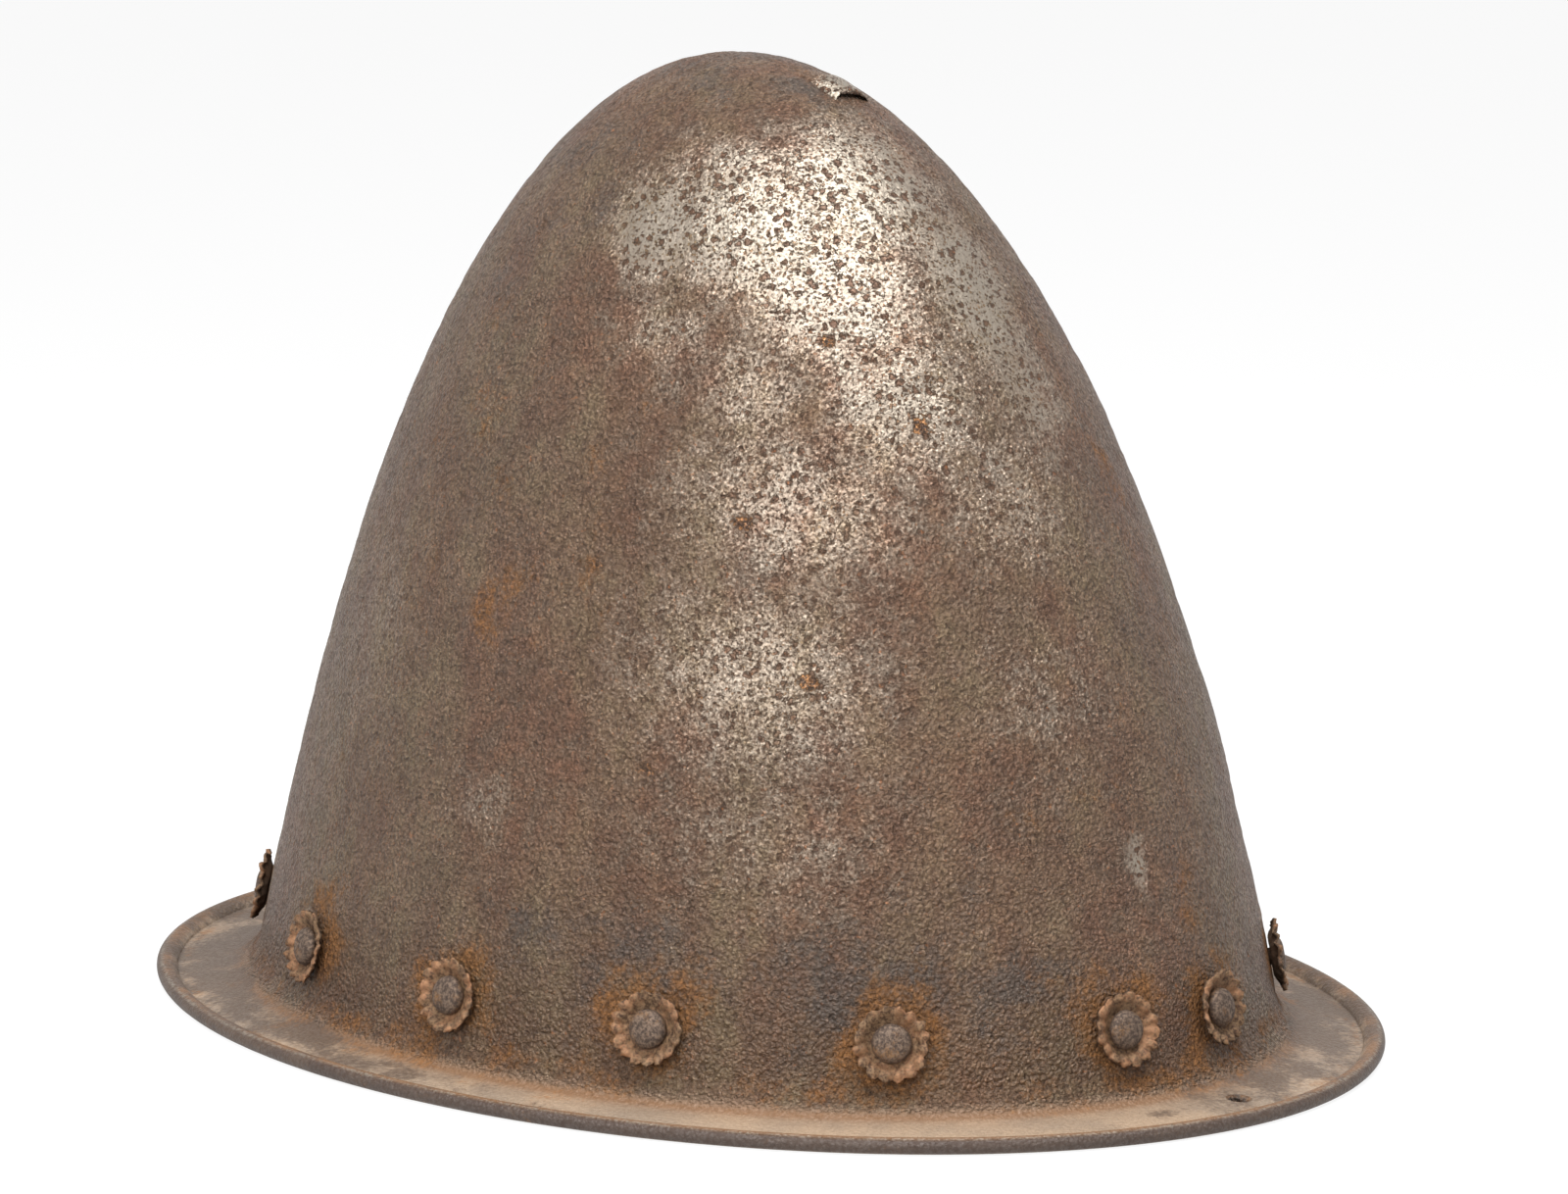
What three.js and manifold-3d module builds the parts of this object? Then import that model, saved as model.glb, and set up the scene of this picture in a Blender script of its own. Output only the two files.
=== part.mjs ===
// Cabasset: an open iron helmet with an almond-shaped skull, a narrow brim with a rolled edge,
// a row of lining rivets on rosette washers, and the lining that those rivets hold.
// Millimetres, +Z up. The origin is the centre of the brim's underside. The front faces -Y,
// the rear is +Y and the wearer's left is +X, so X = 0 is the plane of symmetry.
import * as THREE from 'three';
import { mergeVertices } from 'three/addons/utils/BufferGeometryUtils.js';
import Module from 'manifold-3d';

const wasm = await Module();
wasm.setup();

// Driving dimensions of the iron
const skullHeight = 225.2; // brim underside to the top of the crown
const baseHalfLength = 134.4; // skull wall carried down to the underside, front to rear
const baseHalfWidth = 108.2; // the same, side to side
const crownRadiusLengthwise = 56.2; // radius of the crown's top, seen from the side
const crownRadiusCrosswise = 33.85; // the same, seen from the front
const crownLean = 9.9; // how far the crown's top lies forward of the brim's centre
const endReach = 25.6; // brim reach past the skull wall, at the front and rear
const sideReach = 20.8; // the same, at the sides
const sheet = 1.4; // thickness of the skull and brim
const filletRadius = 9.5; // hollow between wall and brim, on the outside
const footRise = 1.2; // how much the brim climbs from its roll to the hollow
const fitGap = 0.3; // clearance between neighbouring pieces
const slopeStepShare = 1 / 4000; // share of the height over which the wall's slope is measured

// Rolled edge: the sheet is thinned, turned up round a wire and closed down on the brim
const rollSheet = 0.8;
const wireRadius = 0.85;
const wireGap = 0.36; // clearance between the wire and the roll's bore
const rollWidth = 5.2;
const flatRun = 1.4; // flat underside inboard of the roll

// Lining rivets, rosettes and roves
const rivetRowHeight = 18.8;
const shankRadius = 2;
const rivetHeadRadius = 4.5;
const rivetHeadHeight = 2.4;
const rivetTailRadius = 3.2;
const rivetTailHeight = 1.2;
const rosetteRadius = 8.7;
const rosetteRise = 2.1; // how far its rim stands up from its seat
const rosetteSheet = 0.6;
const rosetteFlute = 0.3; // depth of the scallops round its rim
const roveSide = 9;
const roveThickness = 1;
const roveGap = 0.55; // clearance between a flat rove and the curved strap
// Places of the rivets on each side, as shares of the half turn from the rear to the front
const rivetTurnShares = [0.048, 0.208, 0.353, 0.487, 0.63, 0.803, 0.931];
const rosetteLobes = 10;
// Outline of the rivet's head, as shares of its radius and height, and the bevel of its tail
const rivetHeadShares = [
  [1, 0.3],
  [0.8, 0.75],
  [0.4, 0.97],
];
const rivetTailBevelShare = 0.7;

// Hole through the brim behind the skull, and the stump of the crown's stalk
const brimHoleRadius = 2.9;
const brimHoleInset = 14.5; // from the brim's rear edge
const brimHoleOffset = 6; // to the wearer's right of the middle
const stalkLength = 15.8;
const stalkRootHalfWidth = 7;
const stalkTipHalfWidth = 5.5;
const stalkHalfThickness = 1.3;
const stalkBackset = 30.4; // from the crown's top back to the broken tip
const stalkOffset = 5; // to the wearer's right of the middle
const stalkLift = 1.6; // of the tip's centre above the skull
const stalkDroop = THREE.MathUtils.degToRad(11);

// Lining: a leather strap under the rivets, and a quilted linen cap sewn to it
const strapThickness = 2.5;
const strapStandoff = 1.1; // of its lower edge above the hollow
const strapHeight = 25;
const strapEndGap = 1.2;
const linerThickness = 4;
const hemOverlap = 8.5; // height of strap that the cap's hem covers
const linerHeight = 180; // from the brim underside to the level at which the cap would close
const linerFullness = 1.5; // exponent of the cap's outline: 2 is an ellipse
const crownHoleHalfWidth = 9;
const goreCount = 6;
const seamGap = 0.8;
const laceRadius = 1.2;

// Fineness of the facets
const turnSteps = 52;
const wallSteps = 9;
const filletSteps = 3;
const rollSteps = 6;
const goreTurnSteps = 5;
const goreHeightSteps = 7;
const roundSides = 10;
const wireSides = 6;
const laceSteps = 20;
const laceSides = 6;

const brimHalfLength = baseHalfLength + endReach;
const brimHalfWidth = baseHalfWidth + sideReach;
const rollBore = wireRadius + wireGap;
const rollRadius = rollBore + rollSheet;

// A ring is a level oval: half-width along X, half-length along Y, the shift of its centre
// along Y, and its height.
const ring = (halfWidth, halfLength, shift, height) => ({ halfWidth, halfLength, shift, height });

const ringPoint = (oval, turn) =>
  new THREE.Vector3(
    oval.halfWidth * Math.cos(turn),
    oval.shift + oval.halfLength * Math.sin(turn),
    oval.height,
  );

// The skull's outside: each outline is part of a conic with its own radius at the crown.
const outlineAt = (drop, crownRadius, baseHalf) => {
  const flattening = (2 * crownRadius * skullHeight - baseHalf ** 2) / skullHeight ** 2;
  return Math.sqrt(2 * crownRadius * drop - flattening * drop ** 2);
};
const leanAt = (height) => -crownLean * (height / skullHeight) ** 2;
const skullRing = (height) => {
  const drop = skullHeight - height;
  return ring(
    outlineAt(drop, crownRadiusCrosswise, baseHalfWidth),
    outlineAt(drop, crownRadiusLengthwise, baseHalfLength),
    leanAt(height),
    height,
  );
};

// How far the wall moves in for each unit of height
const slopeStep = skullHeight * slopeStepShare;
const wallSlope = (height) => {
  const above = skullRing(height + slopeStep / 2);
  const below = skullRing(height - slopeStep / 2);
  const mean = (oval) => Math.sqrt(oval.halfWidth * oval.halfLength);
  return (mean(below) - mean(above)) / slopeStep;
};

// The same wall moved inwards, square to its face
const insetRing = (height, depth) => {
  const oval = skullRing(height);
  const tilt = Math.atan(wallSlope(height));
  return ring(
    oval.halfWidth - depth * Math.cos(tilt),
    oval.halfLength - depth * Math.cos(tilt),
    oval.shift,
    height - depth * Math.sin(tilt),
  );
};

// Facets over rows of points: rows[i][j] is point i of the profile at step j of the turn.
// A row of one point is a pole.
const facets = (rows, steps, joined, caps) => {
  const starts = [];
  const points = [];
  for (const row of rows) {
    starts.push(points.length);
    points.push(...row);
  }
  const at = (i, j) => starts[i] + (rows[i].length === 1 ? 0 : j % rows[i].length);
  const faces = [];
  const face = (a, b, c) => {
    if (a !== b && b !== c && c !== a) faces.push(a, b, c);
  };
  const last = joined ? rows.length : rows.length - 1;
  for (let i = 0; i < last; i += 1) {
    const next = (i + 1) % rows.length;
    for (let j = 0; j < steps; j += 1) {
      face(at(i, j), at(next, j), at(i, j + 1));
      face(at(i, j + 1), at(next, j), at(next, j + 1));
    }
  }
  if (caps) {
    const half = rows.length / 2;
    for (let i = 0; i < half - 1; i += 1) {
      const loop = [i, i + 1, rows.length - 2 - i, rows.length - 1 - i];
      const [a, b, c, d] = loop.map((k) => at(k, steps));
      face(a, b, c);
      face(a, c, d);
      const [e, f, g, h] = loop.map((k) => at(k, 0));
      face(e, g, f);
      face(e, h, g);
    }
  }
  const geometry = new THREE.BufferGeometry();
  const positions = points.flatMap((point) => [point.x, point.y, point.z]);
  geometry.setAttribute('position', new THREE.Float32BufferAttribute(positions, 3));
  geometry.setIndex(faces);
  return geometry;
};

const fullTurn = Math.PI * 2;
const turns = (steps) => Array.from({ length: steps }, (_, j) => (fullTurn * j) / steps);

// A solid whose profile of rings goes down its outside and up its inside
const ovalRow = (oval, steps) => turns(steps).map((turn) => ringPoint(oval, turn));
const ovalLoop = (rings, steps) =>
  facets(
    rings.map((oval) => ovalRow(oval, steps)),
    steps,
    true,
    false,
  );

// A length of such a solid, from one angle to another, closed at both ends. The gap is the
// width left open between it and the next length.
const ovalStretch = (rings, from, to, gap, steps) => {
  const row = (oval) => {
    const trim = gap / (2 * oval.halfWidth);
    const span = to - from - 2 * trim;
    return Array.from({ length: steps + 1 }, (_, j) =>
      ringPoint(oval, from + trim + (span * j) / steps),
    );
  };
  return facets(rings.map(row), steps, true, true);
};

const solidOf = (geometry) => {
  const plain = geometry.clone();
  plain.deleteAttribute('normal');
  plain.deleteAttribute('uv');
  const merged = mergeVertices(plain);
  return new wasm.Manifold(
    new wasm.Mesh({
      numProp: 3,
      vertProperties: Float32Array.from(merged.attributes.position.array),
      triVerts: Uint32Array.from(merged.index.array),
    }),
  );
};

const geometryOf = (solid) => {
  const { vertProperties, triVerts } = solid.getMesh();
  const geometry = new THREE.BufferGeometry();
  geometry.setAttribute('position', new THREE.Float32BufferAttribute(vertProperties, 3));
  geometry.setIndex(Array.from(triVerts));
  return geometry;
};

// Materials
const finish = (color, roughness, metalness) =>
  new THREE.MeshStandardMaterial({ color, roughness, metalness });
const brownedIron = () => finish(0x7d6857, 0.55, 0.7);
const darkIron = () => finish(0x57493f, 0.6, 0.7);
const rustyRosette = () => finish(0x8a5f45, 0.65, 0.5);
const oldLeather = () => finish(0x4d3626, 0.8, 0);
const linen = () => finish(0xa89a80, 0.95, 0);

const helmet = new THREE.Group();
const addPiece = (name, geometry, material, matrix) => {
  const mesh = new THREE.Mesh(geometry, material);
  mesh.name = name;
  if (matrix) mesh.applyMatrix4(matrix);
  helmet.add(mesh);
  return mesh;
};

// Profile of the skull and brim

// The hollow's centre is so high that its lowest point is the foot of the brim.
const footHeight = sheet + footRise;
const hollowHeight = footHeight + filletRadius;
const hollowTilt = Math.atan(wallSlope(hollowHeight));
const hollowStart = hollowHeight - filletRadius * Math.sin(hollowTilt);

const hollowRing = (share, radius) => {
  const wall = skullRing(hollowStart);
  const angle = hollowTilt + (Math.PI / 2 - hollowTilt) * share;
  const reach = filletRadius * Math.cos(hollowTilt) - radius * Math.cos(angle);
  return ring(
    wall.halfWidth + reach,
    wall.halfLength + reach,
    wall.shift * (1 - share),
    hollowHeight - radius * Math.sin(angle),
  );
};

const edgeRing = (inset, height) => ring(brimHalfWidth - inset, brimHalfLength - inset, 0, height);

// Round parts of the roll: from the top, over the outer edge, to the underside
const rollArc = (radius, steps) =>
  Array.from({ length: steps + 1 }, (_, k) => {
    const angle = (Math.PI * k) / steps;
    return edgeRing(rollRadius - radius * Math.sin(angle), rollRadius + radius * Math.cos(angle));
  });

// The lining strap covers these levels of the wall.
const strapBottom = hollowStart + strapStandoff;
const strapLevels = [1, 0.5, 0].map((share) => strapBottom + strapHeight * share);

// Above the strap, heights grow closer towards the crown, where the wall turns over.
const crownLevels = Array.from({ length: wallSteps - 1 }, (_, k) => {
  const share = (k + 1) / wallSteps;
  return skullHeight - (skullHeight - strapLevels[0]) * share ** 2;
});
const wallHeights = [...crownLevels, ...strapLevels, hollowStart];

const outerWall = wallHeights.map(skullRing);
const outerHollow = Array.from({ length: filletSteps }, (_, k) =>
  hollowRing((k + 1) / filletSteps, filletRadius),
);
const innerHollow = Array.from({ length: filletSteps }, (_, k) =>
  hollowRing((k + 1) / filletSteps, filletRadius + sheet),
).reverse();
const innerWall = wallHeights.map((height) => insetRing(height, sheet)).reverse();

const roll = [
  edgeRing(rollWidth + fitGap, sheet),
  edgeRing(rollRadius, rollRadius - rollBore),
  ...rollArc(rollBore, rollSteps - 2).reverse().slice(1),
  edgeRing(rollWidth - fitGap, sheet + fitGap),
  edgeRing(rollWidth, sheet + rollSheet),
  ...rollArc(rollRadius, rollSteps),
  edgeRing(rollWidth + flatRun, 0),
];

const apex = new THREE.Vector3(0, -crownLean, skullHeight);
const innerApex = new THREE.Vector3(0, -crownLean, skullHeight - sheet);
const skullRings = [...outerWall, ...outerHollow, ...roll, ...innerHollow, ...innerWall];
const outerRows = skullRings.map((oval) => ovalRow(oval, turnSteps));
const skullRows = [[apex], ...outerRows, [innerApex]];
const skullShell = solidOf(facets(skullRows, turnSteps, false, false));

// Where each rivet sits: local Z points out of the wall, local Y up it.
const rivetSeat = (turn) => {
  const oval = skullRing(rivetRowHeight);
  const above = ringPoint(skullRing(rivetRowHeight + slopeStep), turn);
  const place = ringPoint(oval, turn);
  const along = new THREE.Vector3(
    -oval.halfWidth * Math.sin(turn),
    oval.halfLength * Math.cos(turn),
    0,
  ).normalize();
  const out = new THREE.Vector3().crossVectors(along, above.sub(place)).normalize();
  const up = new THREE.Vector3().crossVectors(out, along);
  return new THREE.Matrix4().makeBasis(along, up, out).setPosition(place);
};

const rearTurn = Math.PI / 2;
const rivetTurns = [
  ...rivetTurnShares.map((share) => rearTurn - Math.PI * share),
  ...rivetTurnShares.map((share) => rearTurn + Math.PI * share).reverse(),
];

// Depths under each rivet, counted inwards from the wall's face
const strapDepth = sheet + fitGap;
const roveDepth = strapDepth + strapThickness + roveGap;
const tailDepth = roveDepth + roveThickness + fitGap;
const headSeat = fitGap + rosetteSheet + fitGap;

const boreRadius = shankRadius + fitGap;
const rivetBore = (turn) => {
  const reach = tailDepth + headSeat;
  const bore = new THREE.CylinderGeometry(boreRadius, boreRadius, 2 * reach, roundSides);
  bore.rotateX(Math.PI / 2);
  bore.applyMatrix4(rivetSeat(turn));
  return solidOf(bore);
};
const rivetBores = rivetTurns.map(rivetBore);

const brimHole = () => {
  const depth = 2 * (footHeight + sheet);
  const bore = new THREE.CylinderGeometry(brimHoleRadius, brimHoleRadius, depth, roundSides);
  bore.rotateX(Math.PI / 2);
  bore.translate(-brimHoleOffset, brimHalfLength - brimHoleInset, 0);
  return solidOf(bore);
};

// Height of the skull's outside over a point behind the crown's top
const crownHeightAt = (across, back) =>
  skullHeight - back ** 2 / (2 * crownRadiusLengthwise) - across ** 2 / (2 * crownRadiusCrosswise);

// The broken stalk: a flat taper that leaves the crown and ends in a bare break
const stalk = () => {
  const taper = new THREE.CylinderGeometry(
    stalkTipHalfWidth,
    stalkRootHalfWidth,
    stalkLength,
    roundSides,
  );
  taper.translate(0, -stalkLength / 2, 0);
  taper.scale(1, 1, stalkHalfThickness / stalkTipHalfWidth);
  taper.rotateX(-stalkDroop);
  const tipHeight = crownHeightAt(stalkOffset, stalkBackset) + stalkLift;
  taper.translate(-stalkOffset, stalkBackset - crownLean, tipHeight);
  return solidOf(taper);
};

const drilled = (solid, bores) => bores.reduce((rest, bore) => rest.subtract(bore), solid);
const skull = drilled(skullShell.add(stalk()), [...rivetBores, brimHole()]);
addPiece('skull', geometryOf(skull), brownedIron());

// Edge wire inside the roll
const wireRings = turns(wireSides).map((angle) =>
  edgeRing(rollRadius - wireRadius * Math.cos(angle), rollRadius - wireRadius * Math.sin(angle)),
);
addPiece('edge_wire', ovalLoop(wireRings, turnSteps), darkIron());

// Lining strap: one strip of leather whose ends meet at the rear
const strapOut = strapLevels.map((level) => insetRing(level, strapDepth));
const strapIn = strapLevels.map((level) => insetRing(level, strapDepth + strapThickness)).reverse();
const strapRings = [...strapOut, ...strapIn];
const strapSolid = solidOf(
  ovalStretch(strapRings, rearTurn, rearTurn + fullTurn, strapEndGap, turnSteps),
);
addPiece('lining_strap', geometryOf(drilled(strapSolid, rivetBores)), oldLeather());

// Rivet, along local Z: domed head outside, clenched tail inside
const rivetShape = () => {
  const tailEnd = -(tailDepth + rivetTailHeight);
  const headOutline = rivetHeadShares.map(([radiusShare, heightShare]) => [
    rivetHeadRadius * radiusShare,
    headSeat + rivetHeadHeight * heightShare,
  ]);
  const profile = [
    [0, tailEnd],
    [rivetTailRadius * rivetTailBevelShare, tailEnd],
    [rivetTailRadius, -tailDepth],
    [shankRadius, -tailDepth],
    [shankRadius, headSeat],
    [rivetHeadRadius, headSeat],
    ...headOutline,
    [0, headSeat + rivetHeadHeight],
  ].map(([radius, height]) => new THREE.Vector2(radius, height));
  const shape = new THREE.LatheGeometry(profile, roundSides);
  return shape.rotateX(Math.PI / 2);
};

// Rosette: a thin fluted cup with its hollow outwards
const rosetteShape = () => {
  const steps = rosetteLobes * 2;
  const row = (radius, height, flute) =>
    turns(steps).map((turn, j) => {
      const reach = radius - (j % 2 ? flute : 0);
      const lift = j % 2 ? flute : 0;
      return new THREE.Vector3(reach * Math.cos(turn), reach * Math.sin(turn), height + lift);
    });
  const seat = fitGap;
  const rim = seat + rosetteRise;
  return facets(
    [
      row(boreRadius, seat + rosetteSheet, 0),
      row(rivetHeadRadius, seat + rosetteSheet, 0),
      row(rosetteRadius, rim + rosetteSheet, rosetteFlute),
      row(rosetteRadius, rim, rosetteFlute),
      row(rivetHeadRadius, seat, 0),
      row(boreRadius, seat, 0),
    ],
    steps,
    true,
    false,
  );
};

// Rove: a square iron washer between the strap and the rivet's tail
const roveShape = () => {
  const half = roveSide / 2;
  const outline = new THREE.Shape([
    new THREE.Vector2(-half, -half),
    new THREE.Vector2(half, -half),
    new THREE.Vector2(half, half),
    new THREE.Vector2(-half, half),
  ]);
  outline.holes.push(new THREE.Path().absarc(0, 0, boreRadius, 0, fullTurn, true));
  const shape = new THREE.ExtrudeGeometry(outline, {
    depth: roveThickness,
    bevelEnabled: false,
    curveSegments: roundSides / 2,
  });
  shape.translate(0, 0, -(roveDepth + roveThickness));
  return geometryOf(solidOf(shape));
};

rivetTurns.forEach((turn, k) => {
  const number = String(k + 1).padStart(2, '0');
  const seat = rivetSeat(turn);
  addPiece(`rivet_${number}`, geometryOf(solidOf(rivetShape())), darkIron(), seat);
  addPiece(`rosette_${number}`, rosetteShape(), rustyRosette(), seat);
  addPiece(`rove_${number}`, roveShape(), darkIron(), seat);
});

// Linen cap: gores from the strap up to a laced hole under the crown
const hemHeight = strapBottom + strapHeight - hemOverlap;
const hemDepth = strapDepth + strapThickness + fitGap;
const hem = insetRing(hemHeight, hemDepth);
const capRing = (lift, inset) => {
  const height = hem.height + (linerHeight - inset - hem.height) * lift;
  const narrowing = (1 - lift ** linerFullness) ** (1 / linerFullness);
  return ring(
    (hem.halfWidth - inset) * narrowing,
    (hem.halfLength - inset) * narrowing,
    leanAt(height),
    height,
  );
};
// Lift at which the outside of the cap has drawn in to the laced hole
const holeLift =
  (1 - (crownHoleHalfWidth / hem.halfWidth) ** linerFullness) ** (1 / linerFullness);
const goreLifts = Array.from({ length: goreHeightSteps + 1 }, (_, k) => {
  const share = 1 - k / goreHeightSteps;
  return holeLift * Math.sin((Math.PI / 2) * share);
});
const goreRings = [
  ...goreLifts.map((lift) => capRing(lift, 0)),
  ...goreLifts.map((lift) => capRing(lift, linerThickness)).reverse(),
];
const goreTurn = fullTurn / goreCount;
for (let k = 0; k < goreCount; k += 1) {
  const from = rearTurn + goreTurn * k;
  const gore = ovalStretch(goreRings, from, from + goreTurn, seamGap, goreTurnSteps);
  addPiece(`liner_gore_${k + 1}`, gore, linen());
}

// Lace that draws the gores together at the crown
const laceHeight = capRing(holeLift, linerThickness / 2).height;
const holeRing = capRing(holeLift, linerThickness);
const laceReach = laceRadius + fitGap;
const laceRings = turns(laceSides).map((angle) =>
  ring(
    holeRing.halfWidth - laceReach + laceRadius * Math.cos(angle),
    holeRing.halfLength - laceReach + laceRadius * Math.cos(angle),
    leanAt(laceHeight),
    laceHeight + laceRadius * Math.sin(angle),
  ),
);
addPiece('crown_lace', ovalLoop(laceRings.reverse(), laceSteps), linen());

export default helmet;
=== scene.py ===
"""Looks of a cabasset, an old open iron helmet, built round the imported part.

Lengths are metres. +Z is up, the front faces -Y and the wearer's left is +X. A turn is the angle
round an oval ring: 0 at the wearer's left, a quarter turn at the rear.
"""

from __future__ import annotations

import logging
import math
from dataclasses import dataclass, field
from enum import Enum, IntEnum

import bmesh
import bpy
import numpy as np
from mathutils import Matrix, Vector


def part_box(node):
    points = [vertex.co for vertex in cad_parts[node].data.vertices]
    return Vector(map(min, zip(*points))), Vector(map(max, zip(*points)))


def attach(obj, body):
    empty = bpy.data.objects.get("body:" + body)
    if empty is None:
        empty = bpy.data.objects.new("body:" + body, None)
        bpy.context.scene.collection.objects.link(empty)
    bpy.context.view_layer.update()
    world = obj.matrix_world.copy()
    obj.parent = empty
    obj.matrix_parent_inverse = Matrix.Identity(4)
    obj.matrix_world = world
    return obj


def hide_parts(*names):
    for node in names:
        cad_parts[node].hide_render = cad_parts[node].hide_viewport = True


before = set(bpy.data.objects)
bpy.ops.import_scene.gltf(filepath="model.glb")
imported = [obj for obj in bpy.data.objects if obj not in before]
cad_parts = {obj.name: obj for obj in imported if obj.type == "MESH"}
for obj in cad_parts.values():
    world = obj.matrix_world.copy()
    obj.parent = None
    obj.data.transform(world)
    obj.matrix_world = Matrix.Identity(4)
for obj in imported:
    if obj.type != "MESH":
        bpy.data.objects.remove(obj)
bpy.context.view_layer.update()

log = logging.getLogger("cabasset")

MM = 0.001
REAR_TURN = math.pi / 2
FULL_TURN = math.tau
Material = bpy.types.Material
Node = bpy.types.Node
NodeTree = bpy.types.NodeTree
Object = bpy.types.Object
Socket = bpy.types.NodeSocket
Colour = tuple[float, float, float]
Pair = tuple[float, float]
Feeds = dict[str, object]


def srgb(red: int, green: int, blue: int) -> Colour:
    """Turns a colour of 0 to 255 in sRGB into linear light."""

    def linear(value: int) -> float:
        """Turns one channel."""
        share = value / 255
        return share / 12.92 if share <= 0.04045 else ((share + 0.055) / 1.055) ** 2.4

    return linear(red), linear(green), linear(blue)


class Side(Enum):
    """Which face of a sheet a row of points lies on."""

    OUTSIDE = 1
    INSIDE = 0


class Band(IntEnum):
    """Which part of the forged sheet's profile a ring belongs to."""

    WALL = 0
    HOLLOW = 1
    BRIM = 2
    ROLL = 3
    INSIDE = 4


# Node trees


class Graph:
    """A node tree that is being wired."""

    def __init__(self, tree: NodeTree) -> None:
        """Args: tree: the tree that gets the nodes."""
        self.tree = tree

    def add(self, kind: str, feeds: dict | None = None, **settings: object) -> Node:
        """Adds a node.

        Args:
            kind: the node's type name.
            feeds: what goes into its inputs, by name or number.
            settings: the node's own properties.

        Returns:
            The new node.
        """
        node = self.tree.nodes.new(kind)
        for name, value in settings.items():
            setattr(node, name, value)
        self.wire(node, feeds or {})
        return node

    def wire(self, node: Node, feeds: dict) -> None:
        """Feeds some of a node's inputs, by name or number."""
        for key, value in feeds.items():
            self.feed(node.inputs[key], value)

    def feed(self, socket: Socket, value: object) -> None:
        """Links a socket to another, or gives it a fixed value."""
        if isinstance(value, Socket):
            self.tree.links.new(value, socket)
        elif isinstance(value, tuple) and socket.type == "RGBA" and len(value) == 3:
            socket.default_value = (*value, 1.0)
        else:
            socket.default_value = value

    def math(self, operation: str, first: object, second: object = 0.0) -> Socket:
        """Adds a Math node and returns its value."""
        node = self.add("ShaderNodeMath", {0: first, 1: second}, operation=operation)
        return node.outputs[0]

    def times(self, value: object, *factors: object) -> Socket:
        """Multiplies values."""
        for factor in factors:
            value = self.math("MULTIPLY", value, factor)
        return value

    def plus(self, value: object, *terms: object) -> Socket:
        """Adds values up."""
        for term in terms:
            value = self.math("ADD", value, term)
        return value

    def rest(self, value: object) -> Socket:
        """Gives what a value lacks to 1."""
        return self.math("SUBTRACT", 1.0, value)

    def swing(self, value: object, reach: object) -> Socket:
        """Makes a value of 0 to 1 vary round 0, by half of reach each way."""
        return self.times(self.math("SUBTRACT", value, 0.5), reach)

    def vector(self, operation: str, first: object, second: object) -> Socket:
        """Adds a Vector Math node and returns its vector."""
        feeds = {0: first, 1: second}
        return self.add("ShaderNodeVectorMath", feeds, operation=operation).outputs[0]

    def scaled(self, vector: object, factor: object) -> Socket:
        """Scales a vector by a value."""
        feeds = {0: vector, "Scale": factor}
        return self.add("ShaderNodeVectorMath", feeds, operation="SCALE").outputs[0]

    def span(self, value: object, low: object, high: object, start=0.0, end=1.0) -> Socket:
        """Eases a value from start at low to end at high."""
        feeds = {"Value": value, "From Min": low, "From Max": high, "To Min": start, "To Max": end}
        node = self.add("ShaderNodeMapRange", feeds, interpolation_type="SMOOTHSTEP")
        return node.outputs[0]

    def noise(
        self, place: object, size: object, detail: float = 3.0, roughness: float = 0.55
    ) -> Socket:
        """Adds a noise whose lumps are about as wide as size, and returns its factor."""
        scale = self.math("DIVIDE", 1.0, size)
        feeds = {"Vector": place, "Scale": scale, "Detail": detail, "Roughness": roughness}
        return self.add("ShaderNodeTexNoise", feeds).outputs[0]

    def swirl(self, place: object, size: object, reach: object) -> Socket:
        """Gives a shift that wanders in lumps of some size, by half of reach each way."""
        feeds = {"Vector": place, "Scale": self.math("DIVIDE", 1.0, size), "Detail": 2.0}
        stir = self.add("ShaderNodeTexNoise", feeds).outputs["Color"]
        return self.scaled(self.vector("SUBTRACT", stir, (0.5, 0.5, 0.5)), reach)

    def cells(self, place: object, size: object, feature: str = "F1") -> Socket:
        """Adds a cell pattern and returns the distance to each cell's middle or edge."""
        scale = self.math("DIVIDE", 1.0, size)
        node = self.add("ShaderNodeTexVoronoi", {"Vector": place, "Scale": scale}, feature=feature)
        return node.outputs["Distance"]

    def tint(self, factor: object, first: object, second: object, blend: str = "MIX") -> Socket:
        """Mixes two colours."""
        feeds = {0: factor, 6: first, 7: second}
        node = self.add("ShaderNodeMix", feeds, data_type="RGBA", blend_type=blend)
        return node.outputs[2]

    def between(self, factor: object, first: object, second: object) -> Socket:
        """Mixes two values."""
        node = self.add("ShaderNodeMix", {0: factor, 2: first, 3: second}, data_type="FLOAT")
        return node.outputs[0]

    def place(self) -> Socket:
        """Reads each point's place on the object."""
        return self.add("ShaderNodeTexCoord").outputs["Object"]

    def seen(self) -> Socket:
        """Is 1 for what the camera sees, also in a mirror or through glass."""
        path = self.add("ShaderNodeLightPath").outputs
        seen = self.math("MAXIMUM", path["Is Camera Ray"], path["Is Transmission Ray"])
        return self.math("MAXIMUM", seen, path["Is Glossy Ray"])

    def attribute(self, name: str) -> Socket:
        """Reads a value that the mesh carries at its points."""
        return self.add("ShaderNodeAttribute", attribute_name=name).outputs["Fac"]

    def named(self, name: str, kind: str = "FLOAT") -> Socket:
        """Reads a value of the points that a geometry tree works on."""
        node = self.add("GeometryNodeInputNamedAttribute", data_type=kind)
        node.inputs["Name"].default_value = name
        return node.outputs["Attribute"]

    def bump(self, height: object, depth: float, normal: object = None) -> Socket:
        """Turns a height of 0 to 1 into a normal, for a relief of the given depth."""
        feeds = {"Height": height, "Distance": depth, "Strength": 1.0}
        if normal is not None:
            feeds["Normal"] = normal
        return self.add("ShaderNodeBump", feeds).outputs[0]


@dataclass(frozen=True)
class Port:
    """A named input of a node group, with its starting value."""

    name: str
    value: object
    kind: str = "NodeSocketFloat"


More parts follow.
